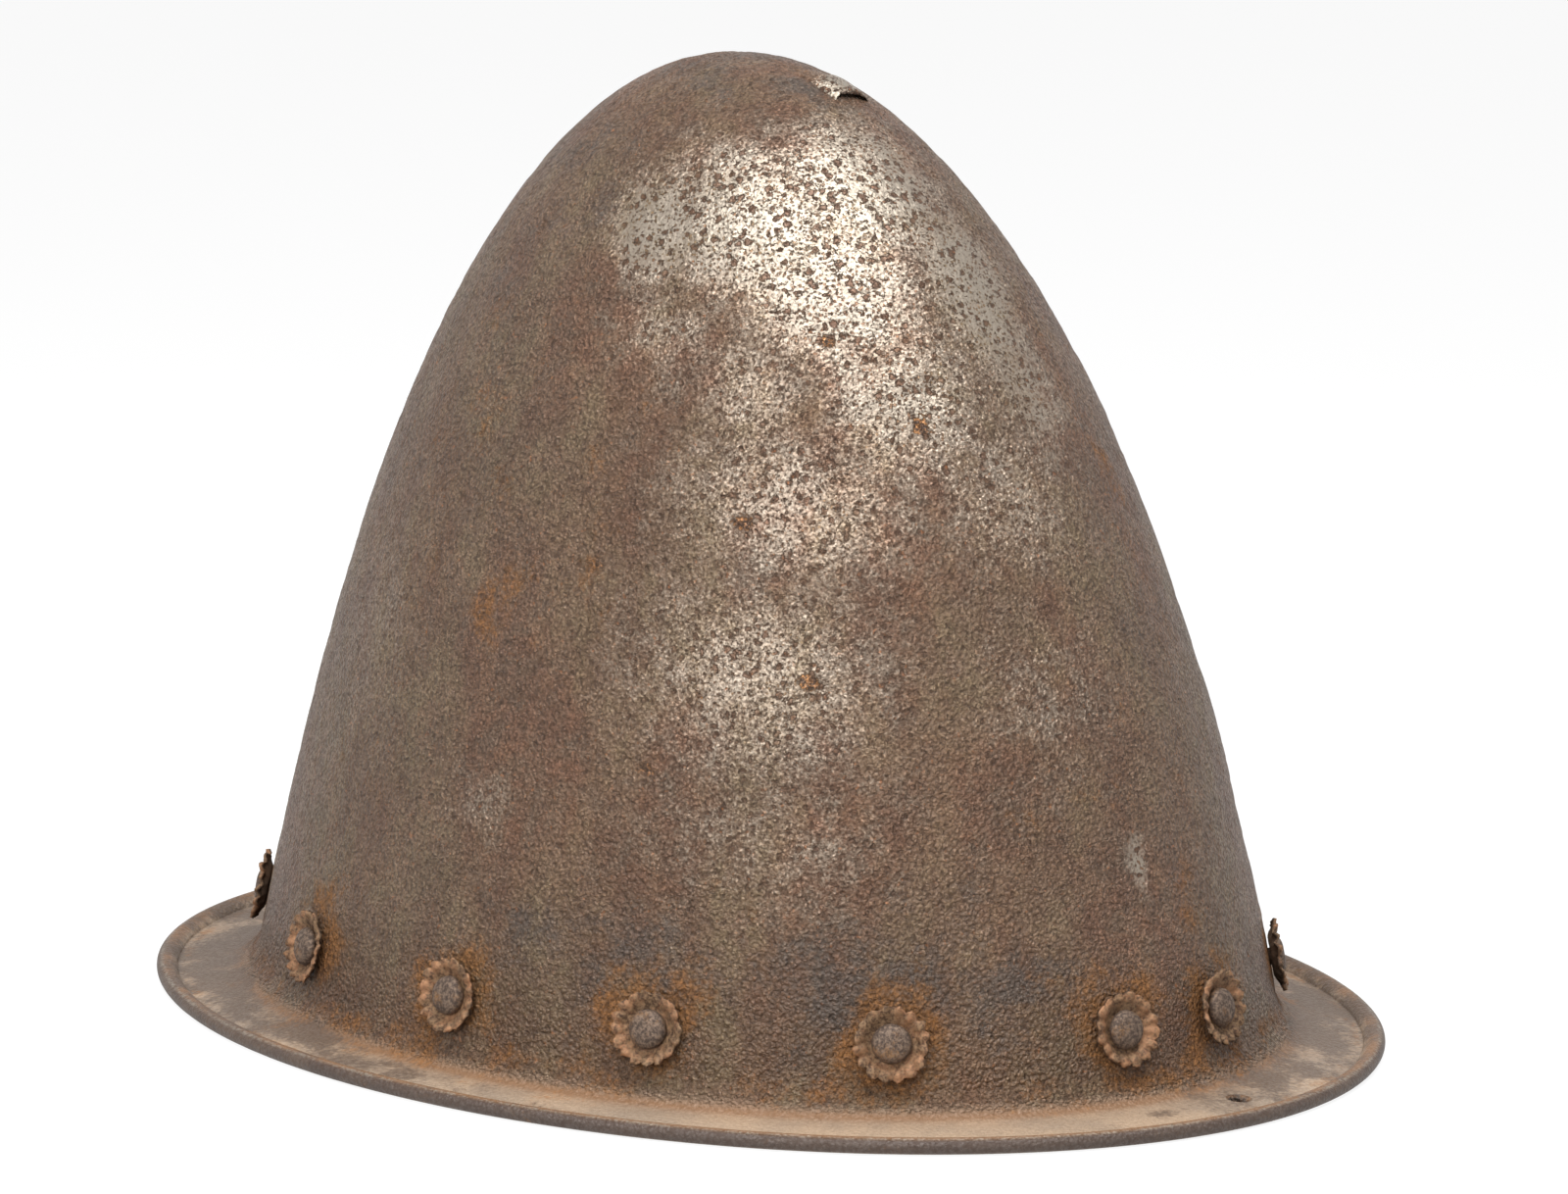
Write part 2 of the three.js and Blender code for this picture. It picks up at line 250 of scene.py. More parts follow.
PLACE = Port("Place", None, "NodeSocketVector")
# Share of its range that a noise fills, how far into its cell a full pit reaches, and the
# share of that which is its flat floor.
NOISE_REACH, PIT_REACH, PIT_FLOOR = 0.32, 0.62, 0.62


def shader_group(name: str, ports: tuple[Port, ...], outputs: tuple[str, ...]):
    """Starts a shader node group.

    Args:
        name: the group's name.
        ports: its inputs.
        outputs: the names of its outputs, all plain values.

    Returns:
        The group's graph, a table of its input sockets by name, and its output node.
    """
    tree = bpy.data.node_groups.new(name, "ShaderNodeTree")
    for port in ports:
        made = tree.interface.new_socket(port.name, in_out="INPUT", socket_type=port.kind)
        if port.value is not None:
            made.default_value = port.value
    for output in outputs:
        tree.interface.new_socket(output, in_out="OUTPUT", socket_type="NodeSocketFloat")
    graph = Graph(tree)
    entry = graph.add("NodeGroupInput")
    leave = graph.add("NodeGroupOutput")
    return graph, entry.outputs, leave


def speckle_group() -> NodeTree:
    """Builds the group for a grain of small light and dark specks.

    Returns:
        A group whose Mask is 1 on the light specks and whose Height stands up with them.
    """
    ports = (PLACE, Port("Size", 1 * MM), Port("Light Share", 0.5), Port("Softness", 0.06))
    graph, given, leave = shader_group("Speckle", ports, ("Mask", "Height"))
    grain = graph.noise(given["Place"], given["Size"], 4.0, 0.7)
    # A noise keeps to the middle of its range, so the share is narrowed to where it varies.
    middle = graph.plus(graph.swing(given["Light Share"], -NOISE_REACH), 0.5)
    low = graph.math("SUBTRACT", middle, given["Softness"])
    high = graph.plus(middle, given["Softness"])
    graph.wire(leave, {"Mask": graph.span(grain, low, high), "Height": grain})
    return graph.tree


def pitting_group() -> NodeTree:
    """Builds the group for ragged rust pits.

    Returns:
        A group whose Mask is 1 inside the pits and whose Height falls to 0 at their bottoms.
    """
    ports = (PLACE, Port("Size", 3 * MM), Port("Amount", 0.5))
    graph, given, leave = shader_group("Pitting", ports, ("Mask", "Height"))
    ragged = graph.noise(given["Place"], graph.times(given["Size"], 0.35), 3.0, 0.6)
    drift = graph.swing(ragged, 0.9)
    distance = graph.plus(graph.cells(given["Place"], given["Size"]), drift)
    edge = graph.times(given["Amount"], PIT_REACH)
    height = graph.span(distance, graph.times(edge, PIT_FLOOR), edge)
    graph.wire(leave, {"Height": height, "Mask": graph.rest(height)})
    return graph.tree


def bloom_group() -> NodeTree:
    """Builds the group for soft-edged patches, such as rust blooms and stains.

    Returns:
        A group whose Mask grows from 0 to 1 as Amount does, in broken patches.
    """
    ports = (PLACE, Port("Size", 20 * MM), Port("Amount", 0.5), Port("Raggedness", 0.5))
    graph, given, leave = shader_group("Bloom", ports, ("Mask",))
    broad = graph.noise(given["Place"], given["Size"], 5.0, 0.6)
    fine = graph.noise(given["Place"], graph.times(given["Size"], 0.09), 2.0, 0.5)
    crumb = graph.swing(fine, given["Raggedness"])
    total = graph.plus(given["Amount"], graph.swing(broad, 2.2), crumb)
    graph.wire(leave, {"Mask": graph.span(total, 0.3, 0.9)})
    return graph.tree


def weave_group() -> NodeTree:
    """Builds the group for a plain weave in the first two directions of Place.

    Returns:
        A group whose Height is 1 on the threads and 0 between them.
    """
    ports = (PLACE, Port("Thread", 0.7 * MM), Port("Unevenness", 0.5))
    graph, given, leave = shader_group("Weave", ports, ("Height",))
    stir = graph.noise(given["Place"], graph.times(given["Thread"], 6.0), 2.0)
    drift = graph.swing(stir, given["Unevenness"])
    pitch = graph.math("DIVIDE", math.pi, given["Thread"])
    axes = graph.add("ShaderNodeSeparateXYZ", {0: given["Place"]}).outputs
    warp, weft = (
        graph.math("SINE", graph.plus(graph.times(axis, pitch), drift)) for axis in axes[:2]
    )
    over = graph.math("ABSOLUTE", graph.times(warp, weft))
    graph.wire(leave, {"Height": graph.math("POWER", over, 0.5)})
    return graph.tree


@dataclass(frozen=True)
class Effects:
    """The shader groups that several finishes share."""

    speckle: NodeTree
    pitting: NodeTree
    bloom: NodeTree
    weave: NodeTree

    @classmethod
    def build(cls) -> "Effects":
        """Builds every shared group once."""
        return cls(speckle_group(), pitting_group(), bloom_group(), weave_group())


class Finish:
    """Base of the finishes: makes a material round its Principled shader."""

    name = "finish"

    def build(self, effects: Effects) -> Material:
        """Builds the material.

        Args:
            effects: the shared shader groups.

        Returns:
            The material.
        """
        material = bpy.data.materials.new(self.name)
        material.use_nodes = True
        graph = Graph(material.node_tree)
        feeds = self.feeds(graph, effects, graph.place())
        graph.wire(graph.tree.nodes["Principled BSDF"], feeds)
        return material

    def feeds(self, graph: Graph, effects: Effects, place: Socket) -> Feeds:
        """Wires the finish.

        Args:
            graph: the material's graph.
            effects: the shared shader groups.
            place: each point's place on the object.

        Returns:
            What goes into the shader, by the names of its inputs.
        """
        raise NotImplementedError

    @staticmethod
    def use(graph: Graph, group: NodeTree, place: Socket, **values: object):
        """Places a shared group and returns its outputs; a name has _ for a space."""
        feeds = {key.replace("_", " "): value for key, value in values.items()}
        node = graph.add("ShaderNodeGroup", {"Place": place} | feeds, node_tree=group)
        return node.outputs


@dataclass(frozen=True)
class IronMaps:
    """What varies over the forged iron, as values of 0 to 1."""

    bare: Socket
    scoured_and_sheen: Socket
    brim: Socket
    roll: Socket
    wall: Socket
    plateau: Socket
    pitted: Socket
    holes: Socket
    fine: Socket
    crumb: Socket
    flakes: Socket
    streaked: Socket
    cover: Socket
    embers: Socket
    stain_and_shade: Socket
    bloom: Socket
    wear_and_painted_light: Socket
    gouged: Socket
    shine: Socket


@dataclass(frozen=True)
class BrownedIron(Finish):
    """Old brown iron: a rough rust skin over steel worn bright in patches, with painted highlight
    and shade.
    """

    name: str = "browned_iron"
    # Eroded iron, also laid in the low places as painted shade in the crevices.
    eroded_and_crevice_shade: Colour = srgb(68, 50, 38)
    skin: Colour = srgb(128, 100, 76)
    red_skin: Colour = srgb(132, 91, 64)
    khaki_skin: Colour = srgb(126, 105, 77)
    ember: Colour = srgb(176, 108, 58)
    rust: Colour = srgb(154, 106, 62)
    deep_rust: Colour = srgb(104, 74, 50)
    stain: Colour = srgb(66, 60, 56)
    # Brim smudges; this colour is also the painted shade at the brim's ends.
    smudge_and_shade: Colour = srgb(80, 64, 52)
    # Worn steel, laid where the highlights fall: partly real wear, partly painted highlight.
    steel: Colour = srgb(150, 140, 127)
    pit_brown: Colour = srgb(80, 56, 40)
    # Rust in the hollow between wall and brim, darkened as painted shade.
    hollow_rust_and_shade: Colour = srgb(124, 90, 60)
    brim_tan: Colour = srgb(170, 146, 122)
    brim_grey: Colour = srgb(146, 128, 110)
    # Dark patina of the roll's outer face, darkened further as painted shade under the bead.
    roll_brown_and_shade: Colour = srgb(54, 40, 34)
    grain: float = 0.85 * MM
    fine_grain: float = 0.75 * MM
    crumb: float = 0.98 * MM
    flake: float = 7 * MM
    pit: float = 2.9 * MM
    pepper: float = 1.2 * MM
    patch: float = 26 * MM
    tone_patch: float = 13 * MM
    ember_size: float = 1.2 * MM
    stain_shade_size: float = 14 * MM
    bloom_size: float = 13 * MM
    streak: Colour = (1.0, 1.0, 0.42)
    grain_relief: float = 0.26 * MM
    fine_relief: float = 0.6 * MM
    crumb_relief: float = 0.95 * MM
    pit_relief: float = 0.85 * MM
    gouge_relief: float = 1.1 * MM

    # Between which levels a value eases from 0 to 1.
    scour_span: Pair = (0.15, 0.62)
    ember_span: Pair = (0.62, 0.7)
    ember_flakes: Pair = (0.42, 0.6)
    grain_span: Pair = (0.26, 0.56)
    fine_span: Pair = (0.38, 0.58)
    wear_span: Pair = (0.18, 0.86)
    gouge_span: Pair = (0.42, 0.66)
    hue_span: Pair = (0.4, 0.6)
    patch_span: Pair = (0.35, 0.65)
    tone_span: Pair = (0.36, 0.64)
    torn_span: Pair = (0.45, 0.62)

    # What a value is on the rough skin and where the iron is scoured, a zone that also carries
    # painted sheen.
    plateau_share: Pair = (0.6, 0.81)
    plateau_softness: Pair = (0.16, 0.05)
    pit_amount: Pair = (0.4, 0.62)
    pepper_amount: Pair = (0.1, 0.6)
    plateau_cover: Pair = (0.35, 1.0)
    least_cover: Pair = (0.28, 0.0)
    skin_roughness: Pair = (0.33, 0.26)
    skin_metal: Pair = (0.25, 0.6)
    scoured_relief: Pair = (1.0, 0.12)

    # What a value is on the wall and on the brim.
    stain_shade_share: Pair = (0.62, 0.86)
    brim_gloss: Pair = (1.0, 0.35)
    brim_relief: Pair = (1.0, 0.22)

    # What a value is without and with the layer that it is named for.
    sunk_share: Pair = (0.4, 0.85)
    cover_level: Pair = (0.15, 0.7)
    steel_roughness: float = 0.37
    steel_metal: float = 0.9
    dull_roughness: float = 0.6
    roll_roughness: float = 0.55
    tone_share: float = 0.85
    # Cover where the fine relief is lowest, leaving the eroded colour as painted shade in the
    # crevices.
    crevice_shade_cover: float = 0.3
    ember_share: float = 0.5
    brim_grain: float = 0.3
    roll_share: float = 0.92
    bloom_share: float = 0.7
    gouge_share: float = 0.8
    raggedness: float = 0.8
    flake_wear: float = 0.7
    fine_wear: float = 0.9
    flake_tear: float = 1.8

    def feeds(self, graph: Graph, effects: Effects, place: Socket) -> Feeds:
        """Wires the finish from what varies over the iron."""
        maps = self.maps(graph, effects, place)
        gloss = graph.times(maps.cover, graph.rest(maps.bloom))
        level = graph.between(gloss, *self.cover_level)
        gloss = graph.times(gloss, graph.between(maps.brim, *self.brim_gloss))
        polished = graph.between(graph.span(maps.bare, 0.0, 0.5), *self.skin_roughness)
        rough = graph.between(gloss, self.dull_roughness, polished)
        rough = graph.between(maps.shine, rough, self.steel_roughness)
        rough = graph.between(graph.times(maps.roll, 0.8), rough, self.roll_roughness)
        metal = graph.times(gloss, graph.span(maps.bare, 0.0, 0.6, *self.skin_metal))
        metal = graph.between(maps.shine, metal, self.steel_metal)
        return {
            "Specular IOR Level": level,
            "Base Color": self.marked(graph, maps, self.patina(graph, maps)),
            "Roughness": rough,
            "Metallic": metal,
            "Normal": self.relief(graph, maps),
        }

    def maps(self, graph: Graph, effects: Effects, place: Socket) -> IronMaps:
        """Wires what varies over the iron, for its colour, its gloss and its relief."""
        bare, brim, roll = (graph.attribute(name) for name in ("bare", "brim", "roll"))
        scoured_and_sheen = graph.span(bare, *self.scour_span)
        plateau = self.use(
            graph,
            effects.speckle,
            place,
            Size=self.grain,
            Light_Share=graph.between(scoured_and_sheen, *self.plateau_share),
            Softness=graph.between(scoured_and_sheen, *self.plateau_softness),
        )["Mask"]
        amount = graph.between(bare, *self.pit_amount)
        pits = self.use(graph, effects.pitting, place, Size=self.pit, Amount=amount)
        amount = graph.between(scoured_and_sheen, *self.pepper_amount)
        pepper = self.use(graph, effects.pitting, place, Size=self.pepper, Amount=amount)
        fine = graph.noise(place, self.fine_grain, 2.0, 0.6)
        stirred = graph.vector("ADD", place, graph.swirl(place, self.crumb, self.crumb))
        crumb = graph.rest(graph.cells(stirred, self.crumb))
        flakes = graph.noise(place, self.flake, 5.0, 0.62)

        # The skin covers the tops of the grains and leaves the eroded iron between them; the darker
        # colour there is partly the iron's own and partly painted shade in the crevices.
        grains = graph.span(crumb, *self.grain_span)
        cover = graph.between(graph.between(scoured_and_sheen, *self.plateau_cover), grains, plateau)
        # Less cover, so darker colour, where the fine relief is low: painted shade in the crevices.
        cover = graph.times(cover, graph.span(fine, *self.fine_span, self.crevice_shade_cover, 1.0))
        cover = graph.between(cover, graph.between(scoured_and_sheen, *self.least_cover), 1.0)
        embers = graph.span(graph.noise(place, self.ember_size, 3.0, 0.6), *self.ember_span)
        embers = graph.times(embers, graph.span(flakes, *self.ember_flakes))
        # Stains, including the painted shade at the brim's ends, and rust blooms.
        stain_and_shade, bloom = (
            self.use(
                graph,
                effects.bloom,
                place,
                Size=size,
                Amount=graph.attribute(name),
                Raggedness=self.raggedness,
            )["Mask"]
            for size, name in ((self.stain_shade_size, "stain"), (self.bloom_size, "rust"))
        )

        # Steel shows where the wear outweighs the flaking, and never inside a pit; the bare patches
        # lie where highlights fall, so it is partly painted highlight.
        uneven = graph.plus(graph.swing(flakes, self.flake_wear), graph.swing(fine, self.fine_wear))
        wear_and_painted_light = graph.span(graph.plus(bare, uneven), *self.wear_span)
        torn = graph.plus(graph.swing(flakes, self.flake_tear), graph.swing(fine, 1.0))
        gouged = graph.span(graph.plus(graph.attribute("gouge"), torn), *self.gouge_span)
        unpitted = graph.times(pits["Height"], pepper["Height"])
        shine = graph.times(wear_and_painted_light, plateau, unpitted, graph.rest(bloom), graph.rest(gouged))
        half_filled = graph.span(pepper["Height"], 0.0, 1.0, 0.5, 1.0)
        return IronMaps(
            bare=bare,
            scoured_and_sheen=scoured_and_sheen,
            brim=brim,
            roll=roll,
            wall=graph.rest(brim),
            plateau=plateau,
            pitted=pits["Mask"],
            holes=graph.times(pits["Height"], half_filled),
            fine=fine,
            crumb=crumb,
            flakes=flakes,
            streaked=graph.vector("MULTIPLY", place, self.streak),
            cover=cover,
            embers=graph.times(embers, self.ember_share),
            stain_and_shade=stain_and_shade,
            bloom=bloom,
            wear_and_painted_light=wear_and_painted_light,
            gouged=gouged,
            shine=shine,
        )

    def patina(self, graph: Graph, maps: IronMaps) -> Socket:
        """Gives the colour of the skin over the wall, the brim and the roll."""
        broad = graph.noise(maps.streaked, self.patch, 5.0, 0.6)
        tone = graph.noise(maps.streaked, self.tone_patch, 6.0, 0.7)
        tone = graph.span(tone, *self.tone_span, 0.0, self.tone_share)
        skin = graph.tint(graph.span(broad, *self.hue_span), self.khaki_skin, self.red_skin)
        skin = graph.tint(graph.span(maps.flakes, *self.patch_span), skin, self.skin)
        skin = graph.tint(tone, skin, graph.tint(0.5, skin, self.eroded_and_crevice_shade))
        # The eroded colour between the grains: partly the iron's own, partly painted shade in the
        # crevices.
        colour = graph.tint(maps.cover, self.eroded_and_crevice_shade, skin)
        colour = graph.tint(maps.embers, colour, self.ember)
        hue = graph.span(broad, *self.patch_span)
        smooth = graph.tint(hue, self.brim_grey, self.brim_tan)
        # The hollow takes the rust colour, darkened as painted shade in the concave foot.
        smooth = graph.tint(graph.attribute("tan"), smooth, self.hollow_rust_and_shade)
        # The brim darkens where its grain is low: painted shade in its crevices.
        grained = graph.times(graph.rest(maps.cover), self.brim_grain)
        smooth = graph.tint(grained, smooth, self.eroded_and_crevice_shade)
        colour = graph.tint(maps.brim, colour, smooth)
        # The roll's outer face: dark patina and painted shade under the bead.
        return graph.tint(graph.times(maps.roll, self.roll_share), colour, self.roll_brown_and_shade)

    def marked(self, graph: Graph, maps: IronMaps, colour: Socket) -> Socket:
        """Lays stains with painted shade, rust, bare steel with painted highlight, gouges and pits
        over the skin's colour.

        Args:
            graph: the material's graph.
            maps: what varies over the iron.
            colour: the skin's colour.

        Returns:
            The iron's colour.
        """
        # Stains on the wall; on the brim, smudges and the painted shade at its ends.
        dirt = graph.tint(maps.brim, self.stain, self.smudge_and_shade)
        stain_and_shade = graph.times(maps.stain_and_shade, graph.between(maps.brim, *self.stain_shade_share))
        colour = graph.tint(stain_and_shade, colour, dirt)
        rusty = graph.tint(maps.plateau, self.deep_rust, self.rust)
        colour = graph.tint(graph.times(maps.bloom, self.bloom_share), colour, rusty)
        # Light steel on the worn patches: partly real wear, partly painted highlight and sheen.
        colour = graph.tint(maps.shine, colour, self.steel)
        torn = graph.tint(graph.span(maps.fine, *self.torn_span), self.eroded_and_crevice_shade, self.rust)
        colour = graph.tint(graph.times(maps.gouged, self.gouge_share), colour, torn)
        share = graph.between(maps.wear_and_painted_light, *self.sunk_share)
        sunk = graph.times(maps.pitted, share, maps.wall)
        return graph.tint(sunk, colour, graph.tint(maps.embers, self.pit_brown, self.ember))

    def relief(self, graph: Graph, maps: IronMaps) -> Socket:
        """Gives the normal of the grains, crumbs, pits and gouges."""
        firm = graph.between(maps.brim, *self.brim_relief)
        normal = graph.bump(graph.times(maps.plateau, firm), self.grain_relief)
        firm = graph.times(firm, graph.between(maps.scoured_and_sheen, *self.scoured_relief))
        normal = graph.bump(graph.times(maps.fine, firm), self.fine_relief, normal)
        normal = graph.bump(graph.times(maps.crumb, firm), self.crumb_relief, normal)
        normal = graph.bump(graph.times(maps.holes, maps.wall), self.pit_relief, normal)
        return graph.bump(graph.rest(maps.gouged), self.gouge_relief, normal)


@dataclass(frozen=True)
class DarkIron(Finish):
    """Small dark iron pieces: rivet heads, roves and the edge wire."""

    name: str = "dark_iron"
    dark: Colour = srgb(64, 52, 45)
    light: Colour = srgb(114, 96, 82)
    rust: Colour = srgb(136, 98, 60)
    grain: float = 0.8 * MM
    relief: float = 0.16 * MM
    rust_amount: float = 0.28

    def feeds(self, graph: Graph, effects: Effects, place: Socket) -> Feeds:
        """Wires the finish from the shared groups."""
        specks = self.use(
            graph, effects.speckle, place, Size=self.grain, Light_Share=0.45, Softness=0.12
        )
        blooms = self.use(
            graph, effects.bloom, place, Size=4 * MM, Amount=self.rust_amount, Raggedness=0.9
        )
        colour = graph.tint(specks["Mask"], self.dark, self.light)
        colour = graph.tint(graph.times(blooms["Mask"], 0.7), colour, self.rust)
        return {
            "Specular IOR Level": 0.3,
            "Base Color": colour,
            "Roughness": graph.between(specks["Mask"], 0.75, 0.52),
            "Metallic": graph.between(specks["Mask"], 0.1, 0.35),
            "Normal": graph.bump(specks["Height"], self.relief),
        }


@dataclass(frozen=True)
class RustyRosette(Finish):
    """Thin tarnished metal: coppery where it is rubbed, rusty in its folds, with painted shade on
    its back and round its rim's edge.
    """

    name: str = "rusty_rosette"
    dark: Colour = srgb(60, 42, 31)
    copper: Colour = srgb(160, 116, 84)
    crust: Colour = srgb(128, 102, 76)
    edge: Colour = srgb(70, 57, 47)
    grain: float = 1.0 * MM
    relief: float = 0.2 * MM

    def feeds(self, graph: Graph, effects: Effects, place: Socket) -> Feeds:
        """Wires the finish from the shared groups."""
        rim = graph.attribute("rim")
        specks = self.use(
            graph, effects.speckle, place, Size=self.grain, Light_Share=0.5, Softness=0.14
        )
        blooms = self.use(graph, effects.bloom, place, Size=5 * MM, Amount=0.5, Raggedness=0.9)
        colour = graph.tint(specks["Mask"], self.dark, self.crust)
        rubbed = graph.times(blooms["Mask"], graph.between(rim, 0.35, 0.8))
        colour = graph.tint(rubbed, colour, self.copper)
        # The back, which faces the wall, and half of the rim's edge are darkened: painted shade.
        colour = graph.tint(graph.times(graph.attribute("under"), 0.85), colour, self.edge)
        return {
            "Specular IOR Level": 0.3,
            "Base Color": colour,
            "Roughness": graph.between(rubbed, 0.72, 0.46),
            "Metallic": graph.between(rubbed, 0.1, 0.55),
            "Normal": graph.bump(specks["Height"], self.relief),
        }


@dataclass(frozen=True)
class OldLeather(Finish):
    """Dark strap leather, cracked along its grain and dusted with rust by the rivets."""

    name: str = "old_leather"
    dark: Colour = srgb(52, 34, 24)
    light: Colour = srgb(104, 72, 48)
    scuff: Colour = srgb(142, 112, 84)
    rust: Colour = srgb(120, 70, 38)
    grain: float = 1.1 * MM
    crease: float = 6 * MM
    relief: float = 0.14 * MM

    def feeds(self, graph: Graph, effects: Effects, place: Socket) -> Feeds:
        """Wires the finish from the shared groups."""
        pores = graph.span(graph.cells(place, self.grain, "DISTANCE_TO_EDGE"), 0.0, 0.16)
        creases = graph.noise(place, self.crease, 5.0, 0.65)
        colour = graph.tint(graph.span(creases, 0.38, 0.66), self.dark, self.light)
        worn = self.use(graph, effects.bloom, place, Size=11 * MM, Amount=0.28, Raggedness=1.0)
        colour = graph.tint(graph.times(worn["Mask"], 0.5), colour, self.scuff)
        colour = graph.tint(graph.times(graph.attribute("rust"), 0.7), colour, self.rust)
        colour = graph.tint(pores, graph.tint(0.6, colour, self.dark), colour)
        normal = graph.bump(creases, self.relief * 3, graph.bump(pores, self.relief))
        rough = graph.between(pores, 0.85, 0.6)
        return {"Base Color": colour, "Roughness": rough, "Normal": normal}


@dataclass(frozen=True)
class OldLinen(Finish):
    """Coarse undyed linen, yellowed, with sweat and rust along its hem."""

    name: str = "old_linen"
    pale: Colour = srgb(182, 166, 134)
    shade: Colour = srgb(138, 116, 86)
    stain: Colour = srgb(104, 76, 48)
    thread: float = 0.75 * MM
    relief: float = 0.22 * MM

    def feeds(self, graph: Graph, effects: Effects, place: Socket) -> Feeds:
        """Wires the finish from the shared groups."""
        cloth = graph.add("ShaderNodeUVMap", uv_map="cloth").outputs[0]
        woven = self.use(graph, effects.weave, cloth, Thread=self.thread, Unevenness=0.5)
        blotch = self.use(graph, effects.bloom, place, Size=24 * MM, Amount=0.5, Raggedness=0.4)
        rust = graph.attribute("rust")
        sweat = self.use(graph, effects.bloom, place, Size=16 * MM, Amount=rust, Raggedness=0.5)
        colour = graph.tint(graph.times(blotch["Mask"], 0.55), self.pale, self.shade)
        colour = graph.tint(graph.times(sweat["Mask"], 0.7), colour, self.stain)
        colour = graph.tint(woven["Height"], graph.tint(0.55, colour, self.stain), colour)
        return {
            "Base Color": colour,
            "Roughness": 0.92,
            "Sheen Weight": 0.15,
            "Normal": graph.bump(woven["Height"], self.relief),
        }


@dataclass(frozen=True)
class WaxedThread(Finish):
    """Linen thread drawn through wax, for the stitches and the crown's lace."""

    name: str = "waxed_thread"
    pale: Colour = srgb(170, 148, 108)
    shade: Colour = srgb(112, 88, 58)
    ply: float = 0.5 * MM
    relief: float = 0.08 * MM

    def feeds(self, graph: Graph, effects: Effects, place: Socket) -> Feeds:
        """Wires the finish from the shared groups."""
        fibre = self.use(graph, effects.weave, place, Thread=self.ply, Unevenness=0.7)
        dirt = self.use(graph, effects.bloom, place, Size=7 * MM, Amount=0.45, Raggedness=0.6)
        colour = graph.tint(dirt["Mask"], self.pale, self.shade)
        colour = graph.tint(fibre["Height"], graph.tint(0.4, colour, self.shade), colour)
        rough = graph.between(dirt["Mask"], 0.6, 0.8)
        normal = graph.bump(fibre["Height"], self.relief)
        return {"Base Color": colour, "Roughness": rough, "Normal": normal}


# Meshes


def mesh_object(name: str, points: np.ndarray, faces: list) -> Object:
    """Makes a mesh object at the origin.

    Args:
        name: the object's name.
        points: its points, one row each.
        faces: the point numbers of each face.

    Returns:
        The object, linked to the scene and smooth shaded.
    """
    mesh = bpy.data.meshes.new(name)
    mesh.from_pydata(points.tolist(), [], faces)
    mesh.update()
    mesh.shade_smooth()
    made = bpy.data.objects.new(name, mesh)
    bpy.context.scene.collection.objects.link(made)
    return made


def mend(piece: Object, join: bool = True) -> None:
    """Turns every face outwards.

    Args:
        piece: the piece, a closed mesh.
        join: whether points that lie together are merged first.
    """
    mesh = bmesh.new()
    mesh.from_mesh(piece.data)
    if join:
        bmesh.ops.remove_doubles(mesh, verts=mesh.verts, dist=1e-7)
    bmesh.ops.recalc_face_normals(mesh, faces=mesh.faces)
    mesh.to_mesh(piece.data)
    mesh.free()


def carry(piece: Object, name: str, values: np.ndarray) -> None:
    """Stores a value at each point of a piece's mesh."""
    layer = piece.data.attributes.new(name, "FLOAT", "POINT")
    layer.data.foreach_set("value", values.astype(np.float32).ravel())


def places_of(piece: Object) -> np.ndarray:
    """Lists the points of a piece's mesh."""
    return np.array([vertex.co for vertex in piece.data.vertices])


def lattice_faces(rows: int, columns: int, first: int = 0, closed: bool = True) -> list:
    """Lists the four-sided faces between rows of points.

    Args:
        rows: the number of rows.
        columns: the points in a row.
        first: the number of the first point.
        closed: whether each row's end meets its start.

    Returns:
        The faces, as point numbers.
    """
    span = columns if closed else columns - 1
    row, column = np.meshgrid(np.arange(rows - 1), np.arange(span), indexing="ij")
    after = (column + 1) % columns
    here = first + row * columns
    there = here + columns
    corners = (here + column, there + column, there + after, here + after)
    return np.stack([corner.ravel() for corner in corners], axis=1).tolist()


def eased(values: np.ndarray, low: float, high: float) -> np.ndarray:
    """Eases values from 0 at low to 1 at high."""
    share = np.clip((values - low) / (high - low), 0, 1)
    return share * share * (3 - 2 * share)


def ring_turns(steps: int) -> np.ndarray:
    """Lists the angles of evenly spaced points round a ring."""
    return np.arange(steps) * FULL_TURN / steps


def circle(radius: object, height: object, turns: np.ndarray) -> np.ndarray:
    """Places points round Z, with a radius and a height that may vary from point to point."""
    flat = np.zeros_like(turns)
    return np.stack([radius * np.cos(turns), radius * np.sin(turns), flat + height], axis=1)


def turn_gap(turns: np.ndarray, degrees: float) -> np.ndarray:
    """Gives how far angles are from another one, up to half a turn each way."""
    return (turns - math.radians(degrees) + math.pi) % FULL_TURN - math.pi


def standing(place: Vector, *axes: Vector) -> Matrix:
    """Gives the matrix of a thing at a place, from the directions of its X, Y and Z."""
    return Matrix.Translation(place) @ Matrix(axes).transposed().to_4x4()


def facing(place: Vector, aim: Vector, above: Vector) -> Matrix:
    """Gives the matrix of a camera or lamp that looks from a place at an aim."""
    depth = (place - aim).normalized()
    across = above.cross(depth).normalized()
    return standing(place, across, depth.cross(across), depth)


def declare(piece: Object, slot: str, *nodes: str) -> None:
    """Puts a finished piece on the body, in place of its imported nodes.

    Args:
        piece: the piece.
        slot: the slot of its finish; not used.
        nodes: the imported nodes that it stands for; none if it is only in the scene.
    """
    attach(piece, "root")
    if nodes:
        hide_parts(*nodes)
    log.info("%s: %d faces", piece.name, len(piece.data.polygons))


# Shape of the iron


